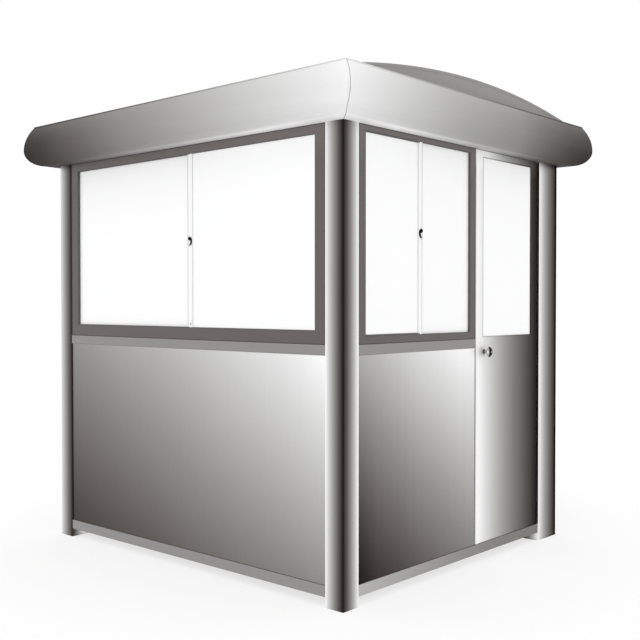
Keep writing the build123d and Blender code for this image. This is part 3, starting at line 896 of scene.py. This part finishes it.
def edit(piece):
    """Open a piece alone in edit mode, with all of it selected."""
    choose(piece)
    bpy.ops.object.mode_set(mode="EDIT")
    bpy.ops.mesh.select_mode(type="FACE")
    bpy.ops.mesh.select_all(action="SELECT")


def leave():
    """Back to object mode."""
    bpy.ops.object.mode_set(mode="OBJECT")


def pick(piece, rule):
    """In edit mode, select the faces whose centre and direction pass the rule."""
    bpy.ops.mesh.select_mode(type="FACE")
    bpy.ops.mesh.select_all(action="DESELECT")
    mesh = bmesh.from_edit_mesh(piece.data)
    for face in mesh.faces:
        face.select_set(rule(face.calc_center_median(), face.normal))
    bmesh.update_edit_mesh(piece.data)


def push(offset):
    """Extrude what is selected by an offset."""
    bpy.ops.mesh.extrude_region_move(TRANSFORM_OT_translate={"value": offset})


def edit_side(piece, facing):
    """Open a piece in edit mode, with the faces on one side of it selected."""
    edit(piece)
    pick(piece, lambda spot, way: way.dot(Vector(facing)) > 0.5)


def emboss(piece, facing, margin, offset):
    """Inset the face on one side of a piece by a margin, and push it in or out."""
    edit_side(piece, facing)
    bpy.ops.mesh.inset(thickness=margin)
    push(offset)
    leave()


def crown(screw, slope, rise, ledge, socket):
    """Slope the edge of a screw's face and sink its middle."""
    edit_side(screw, FRONT)
    bpy.ops.mesh.inset(thickness=slope)
    bpy.ops.transform.translate(value=(0, -rise, 0))
    bpy.ops.mesh.inset(thickness=ledge)
    push((0, socket, 0))
    leave()


def modify(piece, kind, **settings):
    """Add a modifier with these settings and apply it."""
    modifier = piece.modifiers.new(kind.lower(), kind)
    for key, value in settings.items():
        setattr(modifier, key, value)
    bpy.context.view_layer.objects.active = piece
    bpy.ops.object.modifier_apply(modifier=modifier.name)


def rim(name, low, high, width, depth, open_side=0):
    """A rectangular ring that faces the front at low's y; depth runs back from its face.

    open_side is -1 or 1 where the left or right side is left off.
    """
    ring = new_sheet(name, low, (high[0], low[1], high[2]))
    middle, half = (low[0] + high[0]) / 2, (high[0] - low[0]) / 2
    edit(ring)
    bpy.ops.mesh.inset(thickness=width, use_even_offset=True)
    pick(
        ring,
        lambda spot, way: low[2] + width < spot.z < high[2] - width
        and (abs(spot.x - middle) < half - width or (spot.x - middle) * open_side > 0),
    )
    bpy.ops.mesh.delete(type="FACE")
    leave()
    modify(ring, "SOLIDIFY", thickness=depth, offset=-1.0)
    return ring


def hand_over(piece, material, slot, body="booth", wall="front", bevel=0.0004):
    """Ease a piece's edges, turn it from the front to its wall, and give it finish and body."""
    if bevel:
        modify(piece, "BEVEL", width=bevel, segments=2, limit_method="ANGLE")
    choose(piece)
    piece.rotation_euler = (0, 0, WALLS[wall]["turn"])
    bpy.ops.object.transform_apply()
    bpy.ops.object.shade_smooth_by_angle(angle=math.radians(40))
    piece.data.materials.clear()
    piece.data.materials.append(material)
    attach(piece, body)


print("modelling helpers ready")

# %% [markdown]
# ## Window gaskets
# Each pane has a rubber gasket round its three outer sides, and the meeting stile covers the
# fourth. The two panes slide past each other on two tracks. The outer track's gasket is wide and
# flat, and the inner track's is narrow and runs deeper, down to the deeper glass. A plane is
# inset to a ring, one side is taken away, and the ring gets its depth.

# %% Piece: window gaskets
GASKET_SET = 0.0008
PANE_THICK = 0.005
DEEP_SIDE = {"front": -1, "right": 1, "back": -1, "left": -1}
OUTER_GASKET = by_wall(0.003, 0.008)
INNER_GASKET = by_wall(0.004, 0.002)

for wall in WALLS:
    glass_low, glass_high = wall_box("window_panes_" + wall, wall)
    stile_low, stile_high = wall_box("meeting_stiles", wall)
    face = wall_box("window_frame_" + wall, wall)[0].y + GASKET_SET
    track_step = glass_high.y - glass_low.y - PANE_THICK
    middle = (stile_low.x + stile_high.x) / 2
    for track, side, width, depth in (
        ("inner", DEEP_SIDE[wall], INNER_GASKET[wall], glass_low.y + track_step - face),
        ("outer", -DEEP_SIDE[wall], OUTER_GASKET[wall], glass_low.y - face),
    ):
        low = (middle if side > 0 else glass_low.x, face, glass_low.z)
        high = (middle if side < 0 else glass_high.x, face, glass_high.z)
        gasket = rim("window_gasket_" + track + "_" + wall, low, high, width, depth, open_side=-side)
        hand_over(gasket, GREY_RUBBER, "latch_black", wall=wall, bevel=0.0006)
print("gaskets made:", 2 * len(WALLS))

# %% [markdown]
# ## Sealant beads
# Where two sheets meet, the joint is filled with dark sealant. A thin ring runs round each
# window frame, and a straight bead runs above and below each lower panel.

# %% Piece: sealant beads
BEAD = 0.004
BEAD_PROUD = 0.0007
HALF_BEAD = 0.3 * BEAD  # of a straight bead, which is narrower

for wall in WALLS:
    low, high = wall_box("window_frame_" + wall, wall)
    face = (low.x, low.y - BEAD_PROUD, low.z)
    bead = rim("frame_bead_" + wall, face, high, BEAD, 2 * BEAD_PROUD)
    hand_over(bead, SEALANT, "latch_black", wall=wall, bevel=0.0005)
    low, high = wall_box("wall_panel_" + wall, wall)
    for place, height in (("top", high.z), ("foot", low.z)):
        bead = new_block(
            "panel_bead_" + place + "_" + wall,
            (low.x, low.y - BEAD_PROUD, height - HALF_BEAD),
            (high.x, low.y + BEAD_PROUD, height + HALF_BEAD),
        )
        hand_over(bead, SEALANT, "latch_black", wall=wall, bevel=0.0005)
print("beads made:", 3 * len(WALLS))

# %% [markdown]
# ## Seals and stops on the meeting stiles
# Two brush seals run down each meeting stile, one along each edge, and keep the draught out. They
# are two copies of one grey brush, one painted lighter and one painted darker, as painted light and
# shade on the two sides of the stile. Each is a low carrier with a raised fin, made by insetting a
# long block's face and pushing it out. A small nylon stop near the foot keeps the wide panes from
# being lifted off their track.

# %% Piece: brush seals and anti-lift stops
SEAL_WIDE = 0.0050
SEAL_PROUD = 0.0012
SEAL_ROOT = 0.001  # how deep a seal sits in the stile
SEAL_SHORT = 0.004  # how much shorter a seal is than the stile, at each end
SEAL_STARTS = by_wall((-0.0045, 0.0), (-0.0015, -0.003))  # left and right
# on each stile one seal painted lighter and one painted darker, as painted light and shade
BRUSHES = by_wall((BRUSH_PAINTED_DARKER, BRUSH_PAINTED_LIGHTER), (BRUSH_PAINTED_LIGHTER, BRUSH_PAINTED_DARKER))

for wall in WALLS:
    low, high = wall_box("meeting_stiles", wall)
    starts = (low.x + SEAL_STARTS[wall][0], high.x - SEAL_WIDE + SEAL_STARTS[wall][1])
    for place, start, brush in zip(("left", "right"), starts, BRUSHES[wall]):
        seal = new_block(
            "brush_seal_" + place + "_" + wall,
            (start, low.y - SEAL_PROUD, low.z + SEAL_SHORT),
            (start + SEAL_WIDE, low.y + SEAL_ROOT, high.z - SEAL_SHORT),
        )
        emboss(seal, FRONT, margin=0.0015, offset=(0, -0.0008, 0))
        hand_over(seal, brush, "white_aluminium", wall=wall, bevel=0.0002)

STOP_SIZE = Vector((0.005, 0.006, 0.013))
STOP_UP = 0.013  # from the stile's foot
for wall in ("front", "back"):
    low, high = wall_box("meeting_stiles", wall)
    corner = Vector(((low.x + high.x) / 2, low.y - STOP_SIZE.y, low.z + STOP_UP))
    stop = new_block("anti_lift_stop_" + wall, corner, corner + STOP_SIZE)
    emboss(stop, FRONT, margin=0.0012, offset=(0, 0.0015, 0))
    hand_over(stop, NYLON, "white_aluminium", wall=wall, bevel=0.0006)
print("seals made:", 2 * len(WALLS))

# %% [markdown]
# ## Latch screws
# A crowned screw holds each crescent latch at its head. It is a short cylinder whose face is
# inset and raised, so that the edge slopes, with a socket in its middle made by a second inset.

# %% Piece: latch screws
SCREW_RADIUS = 0.0035
SCREW_PROUD = 0.0004
HEAD_RADIUS = 0.0085  # of the latch's head

for wall in WALLS:
    low, high = wall_box("window_latches", wall)
    across = high.x - HEAD_RADIUS if wall == "right" else low.x + HEAD_RADIUS
    centre = (across, low.y - SCREW_PROUD, high.z - HEAD_RADIUS)
    screw = new_disc("latch_screw_" + wall, centre, SCREW_RADIUS, depth=0.0016)
    crown(screw, slope=0.0009, rise=0.0005, ledge=0.0008, socket=0.0006)
    hand_over(screw, LATCH_COAT, "latch_black", wall=wall, bevel=0)
print("latch screws made:", len(WALLS))

# %% [markdown]
# ## Trim round the door's glass
# A narrow steel bead frames the glass on both faces of the leaf. It has a painted shade that
# follows the leaf's painted shade, a little darker. It rides on the door.

# %% Piece: door glass beads
ON_DOOR = {"body": "door", "wall": "right"}
GLASS_BEAD = 0.0045
GLASS_BEAD_PROUD = 0.0006
# painted shade along the bead, from the leaf's free edge to its hinges
GLASS_BEAD_PAINTED_SHADE = ((0.0, 0.74), (0.2, 0.70), (0.92, 0.14), (1.0, 0.10))
leaf_front, leaf_back = wall_box("door_leaf", "right")
pane_front, pane_back = wall_box("door_pane", "right")
painted_bead_shade = sheet_tone("door_pane", "right", GLASS_BEAD_PAINTED_SHADE)
GLASS_BEAD_STEEL = steel("steel of the glass beads", painted_bead_shade, VERTICAL_GRAIN)
for place, front, back in (
    ("outer", leaf_front.y - GLASS_BEAD_PROUD, pane_front.y),
    ("inner", pane_back.y, leaf_back.y + GLASS_BEAD_PROUD),
):
    low = (pane_front.x, front, pane_front.z)
    bead = rim("door_glass_bead_" + place, low, pane_back, GLASS_BEAD, back - front)
    hand_over(bead, GLASS_BEAD_STEEL, "door_steel", **ON_DOOR, bevel=0.0005)
print("door glass beads made")

# %% [markdown]
# ## Strip round the leaf's edge
# The folded strip that closes the swing gap is flush with the leaf's outer face. A plane that is
# a little larger than the leaf is inset by the strip's width. The inside and the hinged side are
# taken away, which leaves a U lying on its side, and it gets the depth of the fold.

# %% Piece: door edge strip
STRIP_REACH = 0.0035
STRIP_DEPTH = 0.006
hinge_axis = wall_box("door_pivots", "right")
strip_end = (hinge_axis[0].x + hinge_axis[1].x) / 2
low = leaf_front - Vector((STRIP_REACH, 0, STRIP_REACH))
high = (strip_end, leaf_front.y, leaf_back.z + STRIP_REACH)
strip = rim("door_edge_strip", low, high, STRIP_REACH, STRIP_DEPTH, open_side=1)
hand_over(strip, LEAF_STEEL, "door_steel", **ON_DOOR, bevel=0.0008)
print("edge strip made")

# %% [markdown]
# ## Lock cylinder and thumb turn
# The outer knob holds a key cylinder and the inner one a thumb turn. The cylinder is a disc with
# a raised rim and a keyhole pushed in; the turn is a disc with a flat wing pulled out of it.

# %% Piece: lock cylinder and thumb turn
CYLINDER = 0.0065
knob_front, knob_back = wall_box("door_knob_outer", "right")
tip = Vector(((knob_front.x + knob_back.x) / 2, knob_front.y, (knob_front.z + knob_back.z) / 2))
cylinder = new_disc("lock_cylinder", tip, CYLINDER, depth=0.0016)
edit_side(cylinder, FRONT)
bpy.ops.mesh.inset(thickness=0.0012)
push((0, 0.0004, 0))
bpy.ops.mesh.inset(thickness=0.0030)
bpy.ops.transform.resize(value=(0.35, 1, 1), center_override=tip)
push((0, 0.0006, 0))
leave()
hand_over(cylinder, DULL_STEEL, "knob_chrome", **ON_DOOR, bevel=0.0002)

inner_tip = wall_box("door_knob_inner", "right")[1].y
wing = new_disc("thumb_turn", (tip.x, inner_tip + 0.0005, tip.z), radius=0.009, depth=0.003)
edit_side(wing, (0, 1, 0))
bpy.ops.mesh.inset(thickness=0.0015)
push((0, 0.001, 0))
bpy.ops.transform.resize(value=(0.4, 1, 0.95), center_override=(tip.x, 0, tip.z))
push((0, 0.011, 0))
leave()
hand_over(wing, DULL_STEEL, "knob_chrome", **ON_DOOR, bevel=0.0006)
print("lock pieces made")

# %% [markdown]
# ## Corner seams of the fascia
# At each corner the front fascia piece laps a little way over the side one, and its edge is sealed.
# The edge meets the mitre at the top and at the post, and is trimmed to a shallow bow between them.
# The seam is cut from the side fascia's own skin: a copy keeps only its outer faces, one cut beside
# the mitre leaves a narrow strip, and another ends it at the post. The strip is bowed by moving its
# middle with proportional editing, and gets a little thickness. The other corners get mirrored
# copies. The sealant is painted pale where the fascia has its painted highlight, and black where
# it has its painted shade.

# %% Piece: fascia seams
SEAM_WIDE = 0.0043
SEAM_PROUD = 0.0001
SEAM_BOW = 0.0166
SEAM_FOOT = 0.002  # from the post's corner to where the seam ends
BOW_HEIGHT = 0.1206  # of the bow's middle, over the fascia's underside
BOW_SIZE = 0.1053  # from the bow's middle to where it ends
LEVEL = 0.97  # a face is level where its direction rises or falls by more than this
UNDERSIDE = 0.005  # a level face this near to the lowest one belongs to the underside
LOOKS_OUT = 0.05  # a face is an outer one where it looks outwards by more than this
MERGE = 0.00002  # facets' corners this near to each other are one
ACROSS_MITRE = Vector((1.0, 1.0, 0.0)).normalized()
OUTWARD = Vector((1.0, -1.0, 0.0)).normalized()
side_low, side_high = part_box("fascia_right")
fascia_corner = Vector((side_high.x, side_low.y, 0.0))
post_corner = Vector((HALF_WIDTH, -HALF_DEPTH, 0.0))


def skin_copy(node, name):
    """A new piece with a CAD node's skin, open in edit mode with its facets joined."""
    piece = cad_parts[node].copy()
    piece.data = piece.data.copy()
    piece.name = piece.data.name = name
    for key in list(piece.keys()):
        del piece[key]
    scene.collection.objects.link(piece)
    edit(piece)
    bpy.ops.mesh.remove_doubles(threshold=MERGE)
    return piece


seam = skin_copy("fascia_right", "fascia_seam_front_right")
underside = side_low.z + UNDERSIDE
pick(
    seam,
    lambda spot, way: way.z > LEVEL
    or (way.dot(OUTWARD) < LOOKS_OUT and not (way.z < -LEVEL and spot.z < underside)),
)
bpy.ops.mesh.delete(type="FACE")
for place, way, cleared in (
    (fascia_corner + Vector((0.0, SEAM_WIDE, 0.0)), ACROSS_MITRE, {"clear_outer": True}),
    (post_corner + OUTWARD * SEAM_FOOT, OUTWARD, {"clear_inner": True}),
):
    bpy.ops.mesh.select_all(action="SELECT")
    bpy.ops.mesh.bisect(plane_co=place, plane_no=way, **cleared)
bpy.ops.mesh.select_mode(type="VERT")
bpy.ops.mesh.select_all(action="DESELECT")
mesh = bmesh.from_edit_mesh(seam.data)
bow_middle = side_low.z + BOW_HEIGHT
nearest = min(abs(vertex.co.z - bow_middle) for vertex in mesh.verts) + 0.001
for vertex in mesh.verts:
    vertex.select_set(abs(vertex.co.z - bow_middle) < nearest)
bmesh.update_edit_mesh(seam.data)
bpy.ops.transform.translate(
    value=(0.0, SEAM_BOW, 0.0),
    use_proportional_edit=True,
    proportional_edit_falloff="INVERSE_SQUARE",
    proportional_size=BOW_SIZE,
)
leave()
modify(seam, "SOLIDIFY", thickness=SEAM_PROUD, offset=1.0)
hand_over(seam, SEALANT_PAINTED_PALE, "fascia_steel", bevel=0)

# sealant painted black at the corners with painted shade, pale at the other
for corner, flip, sealant in (
    ("front_left", (-1, 1, 1), SEALANT_PAINTED_BLACK),
    ("back_right", (1, -1, 1), SEALANT_PAINTED_BLACK),
    ("back_left", (-1, -1, 1), SEALANT_PAINTED_PALE),
):
    twin = duplicate(seam, "fascia_seam_" + corner)
    twin.data.materials[0] = sealant
    twin.scale = flip
    bpy.ops.object.transform_apply()
    edit(twin)
    bpy.ops.mesh.normals_make_consistent(inside=False)
    leave()
    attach(twin, "booth")
print("seams made: 4, faces in one:", len(seam.data.polygons))

# %% [markdown]
# ## Rolled top edge of the fascia
# The fascia's top edge is rolled over into a safe, stiff hem, seen from below as one thin darker
# line. It is a plane inset to a ring, given thickness and a round edge. Its shade is painted: pale
# at the two corners where the fascia is painted pale, and dark at the other two.

# %% Piece: fascia hem
HEM_TALL = 0.005
HEM_OVER = 0.001  # how far it stands over the fascia's top
HEM_WIDE = 0.010
HEM_PROUD = 0.0042
HEM_PAINTED_SHADE = ((0.0, 0.16), (0.3, 0.38), (0.6, 0.62), (1.0, 0.88))
edge_out = max(
    -vertex.co.y
    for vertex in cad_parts["fascia_front"].data.vertices
    if vertex.co.z > FASCIA_TOP - 0.0005
)
hem_y = edge_out + HEM_PROUD
hem_x = HALF_WIDTH + hem_y - HALF_DEPTH
hem_z = FASCIA_TOP + HEM_OVER


def painted_hem_shade(tree, position):
    """Painted highlight at the near right and far left corners, painted shade at the other two."""
    slant = vector_calc(tree, "DOT_PRODUCT", position, (0.5 / hem_x, -0.5 / hem_y, 0))
    return fade(tree, calc(tree, "ABSOLUTE", slant), HEM_PAINTED_SHADE)


hem = new_sheet("fascia_hem", (-hem_x, -hem_y, hem_z), (hem_x, hem_y, hem_z), flat=True)
edit(hem)
bpy.ops.mesh.inset(thickness=HEM_WIDE, use_even_offset=True)
bpy.ops.mesh.delete(type="FACE")
leave()
modify(hem, "SOLIDIFY", thickness=HEM_TALL + HEM_OVER, offset=-1.0)
hand_over(hem, steel("steel of the hem", painted_hem_shade, (5, 5, 1100)), "fascia_steel", bevel=0.0014)
print("hem reaches", round(hem_x, 4), round(hem_y, 4))

# %% [markdown]
# ## Shoes of the posts
# A thin plate of the post's own steel closes its foot. It is a flat block whose top is inset and
# raised, so that it slopes up to the post.

# %% Piece: post shoes
SHOE_TALL = 0.004
SHOE_PROUD = 0.0008
for node, post_steel in post_steels.items():
    low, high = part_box(node)
    shoe = new_block(
        node.replace("post", "shoe"),
        (low.x - SHOE_PROUD, low.y - SHOE_PROUD, 0.0),
        (high.x + SHOE_PROUD, high.y + SHOE_PROUD, SHOE_TALL),
    )
    edit_side(shoe, (0, 0, 1))
    bpy.ops.mesh.inset(thickness=0.0006)
    bpy.ops.transform.translate(value=(0, 0, 0.0008))
    leave()
    hand_over(shoe, post_steel, "post_steel", bevel=0.0003)
print("shoes made:", len(post_steels))

# %% [markdown]
# ## Door seals, faceplate and strike plate
# With the door open, its frame shows. A soft rubber tube is glued along the stops that the leaf
# closes on, a faceplate with a sprung latch sits in the leaf's free edge, and a strike plate on
# the jamb receives the latch. The seals are long blocks whose face is inset and pushed out; the
# plates are blocks with an opening pushed in.

# %% Piece: door seals
SEAL_TUBE = 0.009
SEAL_RISE = 0.0035
SEAL_BEHIND = 0.006  # from the leaf's inner face to the stops
SEAL_IN = 0.004  # from the leaf's edges
HEAD_ENDS = 0.03
UPRIGHT_FOOT, UPRIGHT_HEAD = 0.01, 0.04
seal_back = leaf_back.y + SEAL_BEHIND
seal_front = seal_back - SEAL_RISE
seal_top = leaf_back.z - SEAL_IN
for node, start in (
    ("door_jamb", leaf_front.x + SEAL_IN),
    ("door_stop_head", None),
    ("door_stop_heel", leaf_back.x - SEAL_IN - SEAL_TUBE),
):
    low, high = wall_box(node, "right")
    if start is None:
        corner = (low.x + HEAD_ENDS, seal_front, seal_top - SEAL_TUBE)
        far_corner = (high.x - HEAD_ENDS, seal_back, seal_top)
    else:
        corner = (start, seal_front, low.z + UPRIGHT_FOOT)
        far_corner = (start + SEAL_TUBE, seal_back, high.z - UPRIGHT_HEAD)
    seal = new_block(node.replace("door", "seal"), corner, far_corner)
    emboss(seal, FRONT, margin=0.002, offset=(0, -0.0012, 0))
    hand_over(seal, RUBBER, "latch_black", wall="right", bevel=0.0006)
print("door seals made: 3")

# %% Piece: faceplate, latch and strike plate
PLATE_WIDE = 0.022
PLATE_THICK = 0.0008
PLATE_ROOT = 0.001  # how deep a plate sits in what carries it
LATCH_OUT = 0.0035
LATCH_WIDE = 0.012
leaf_edge = leaf_front.x
panel_end = wall_box("wall_panel_right", "right")[1].x
plate_y = (leaf_front.y + leaf_back.y) / 2


def lock_block(name, start, end, width, height):
    """A block from start to end along the wall, with its middle at the lock's height."""
    half = Vector((0, width / 2, height / 2))
    return new_block(
        name, Vector((start, plate_y, tip.z)) - half, Vector((end, plate_y, tip.z)) + half
    )


faceplate = lock_block(
    "latch_faceplate", leaf_edge - PLATE_THICK, leaf_edge + PLATE_ROOT, PLATE_WIDE, 0.150
)
emboss(faceplate, (-1, 0, 0), margin=0.0015, offset=(0.0003, 0, 0))
hand_over(faceplate, BRIGHT_STEEL, "door_steel", **ON_DOOR, bevel=0.0002)

latch = lock_block("door_latch", leaf_edge - LATCH_OUT, leaf_edge + PLATE_ROOT, LATCH_WIDE, 0.020)
edit_side(latch, (-1, 0, 0))
slope_from = (leaf_edge - LATCH_OUT, plate_y + LATCH_WIDE / 2, tip.z)
bpy.ops.transform.resize(value=(1, 0.5, 1), center_override=slope_from)
leave()
hand_over(latch, BRIGHT_STEEL, "door_steel", **ON_DOOR, bevel=0.0004)

strike = lock_block(
    "strike_plate", panel_end - PLATE_ROOT, panel_end + PLATE_THICK, PLATE_WIDE, 0.070
)
emboss(strike, (1, 0, 0), margin=0.006, offset=(-0.0006, 0, 0))
hand_over(strike, BRIGHT_STEEL, "panel_steel", wall="right", bevel=0.0002)
print("plates made")

# %% [markdown]
# ## Roof trim
# A flat band of folded sheet covers the rim of each gable, where the arched roof sheet ends, and
# low cap screws hold the roof along its two long edges. The band is taken from the gable's own
# face, so that it follows the arch exactly: the face is inset to a ring and given thickness. One
# screw is modelled and copied.

# %% Piece: gable bands
BAND_WIDE = 0.012
BAND_THICK = 0.0012
FACE_ON = 0.9  # a face belongs to the gable's flat side where it looks outwards by this much
for side, facing in (("right", 1), ("left", -1)):
    band = skin_copy("roof_gable_" + side, "gable_band_" + side)
    pick(band, lambda spot, way: way.x * facing < FACE_ON)
    bpy.ops.mesh.delete(type="FACE")
    bpy.ops.mesh.select_all(action="SELECT")
    bpy.ops.mesh.dissolve_limited(angle_limit=math.radians(0.5))
    bpy.ops.mesh.select_all(action="SELECT")
    bpy.ops.mesh.inset(thickness=BAND_WIDE, use_even_offset=True)
    bpy.ops.mesh.delete(type="FACE")
    leave()
    modify(band, "SOLIDIFY", thickness=BAND_THICK, offset=1.0)
    hand_over(band, ROOF_COAT, "roof_metal", bevel=0)
    print(band.name, "has", len(band.data.polygons), "faces")

# %% Piece: roof screws
ROOF_SCREWS = 7
ROOF_SCREW_UP = 0.0035  # over the fascia's top
vault_low, vault_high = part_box("roof_vault")
pitch = (vault_high.x - vault_low.x) / ROOF_SCREWS
first = (vault_low.x + pitch / 2, vault_low.y, FASCIA_TOP + ROOF_SCREW_UP)
pattern = new_disc("pattern_screw", first, radius=0.006, depth=0.003, vertices=16)
crown(pattern, slope=0.0022, rise=0.0012, ledge=0.0012, socket=0.0008)
for wall in ("front", "back"):
    for index in range(ROOF_SCREWS):
        name = "roof_screw_" + wall + "_" + str(index + 1)
        screw = duplicate(pattern, name, (index * pitch, 0, 0))
        hand_over(screw, DULL_STEEL, "roof_metal", wall=wall, bevel=0)
bpy.data.objects.remove(pattern)
print("roof screws made:", 2 * ROOF_SCREWS)

# %% [markdown]
# ## Inside trim
# Inside, two flat battens cover the joints of the ceiling panels, and a rubber skirting runs
# round the floor, open at the door.

# %% Piece: ceiling battens and skirting
BATTEN_PLACE = 0.35  # from the booth's middle
HALF_BATTEN = 0.02
BATTEN_THICK = 0.003
batten_reach = HALF_DEPTH - 0.062  # up to the walls
ceiling_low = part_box("ceiling")[0]
for index, place in enumerate((-BATTEN_PLACE, BATTEN_PLACE), start=1):
    batten = new_block(
        "ceiling_batten_" + str(index),
        (place - HALF_BATTEN, -batten_reach, ceiling_low.z - BATTEN_THICK),
        (place + HALF_BATTEN, batten_reach, ceiling_low.z + 0.001),
    )
    emboss(batten, (0, 0, -1), margin=0.006, offset=(0, 0, -0.0015))
    hand_over(batten, CEILING_COAT, "ceiling_white", bevel=0.0005)

SKIRT_TALL = 0.07
SKIRT_THICK = 0.006
floor_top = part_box("floor")[1].z
for wall in ("front", "back", "left"):
    low, high = wall_box("wall_panel_" + wall, wall)
    skirt = new_block(
        "skirting_" + wall,
        (low.x, high.y - 0.001, floor_top),
        (high.x, high.y + SKIRT_THICK, floor_top + SKIRT_TALL),
    )
    emboss(skirt, (0, 1, 0), margin=0.004, offset=(0, 0.0015, 0))
    hand_over(skirt, RUBBER, "latch_black", wall=wall, bevel=0.001)
print("inside trim made")

# %% [markdown]
# ## Floor and light
# The booth stands on a white studio floor that runs out of sight. The light is a large even sky
# with one very soft lamp, so that the shadows are faint. The floor glows for the camera, the
# metal and the glass only, so that they see it as white as the sky.

# %% Stage and light
WHITE = (1, 1, 1, 1)
FLOOR_GLOW = 0.71
bpy.ops.mesh.primitive_circle_add(vertices=96, radius=60.0, fill_type="NGON")
ground = bpy.context.object
ground.name = "studio_floor"
GROUND, tree, shader, position = new_material("studio floor")
path = add(tree, "LightPath").outputs
seen_directly = calc(tree, "MAXIMUM", path["Is Camera Ray"], path["Is Glossy Ray"])
seen_at_all = calc(tree, "MAXIMUM", seen_directly, path["Is Transmission Ray"])
fill(tree, shader, {
    "Base Color": blend_colours(tree, grey(0.97), grey(0.30), seen_at_all),
    "Roughness": 0.9,
    "Specular IOR Level": 0.0,
    "Emission Color": WHITE,
    "Emission Strength": calc(tree, "MULTIPLY", seen_at_all, FLOOR_GLOW),
})
ground.data.materials.append(GROUND)

world = bpy.data.worlds.new("studio")
scene.world = world
world.use_nodes = True
sky = world.node_tree
fill(sky, sky.nodes["Background"], {"Color": WHITE, "Strength": 1.0})

lamp_data = bpy.data.lights.new("soft_lamp", "SUN")
lamp_data.energy = 0.2
lamp_data.angle = math.radians(50)
lamp = bpy.data.objects.new("soft_lamp", lamp_data)
lamp.rotation_euler = (math.radians(40), 0, math.radians(20))
scene.collection.objects.link(lamp)
print("stage and light ready")
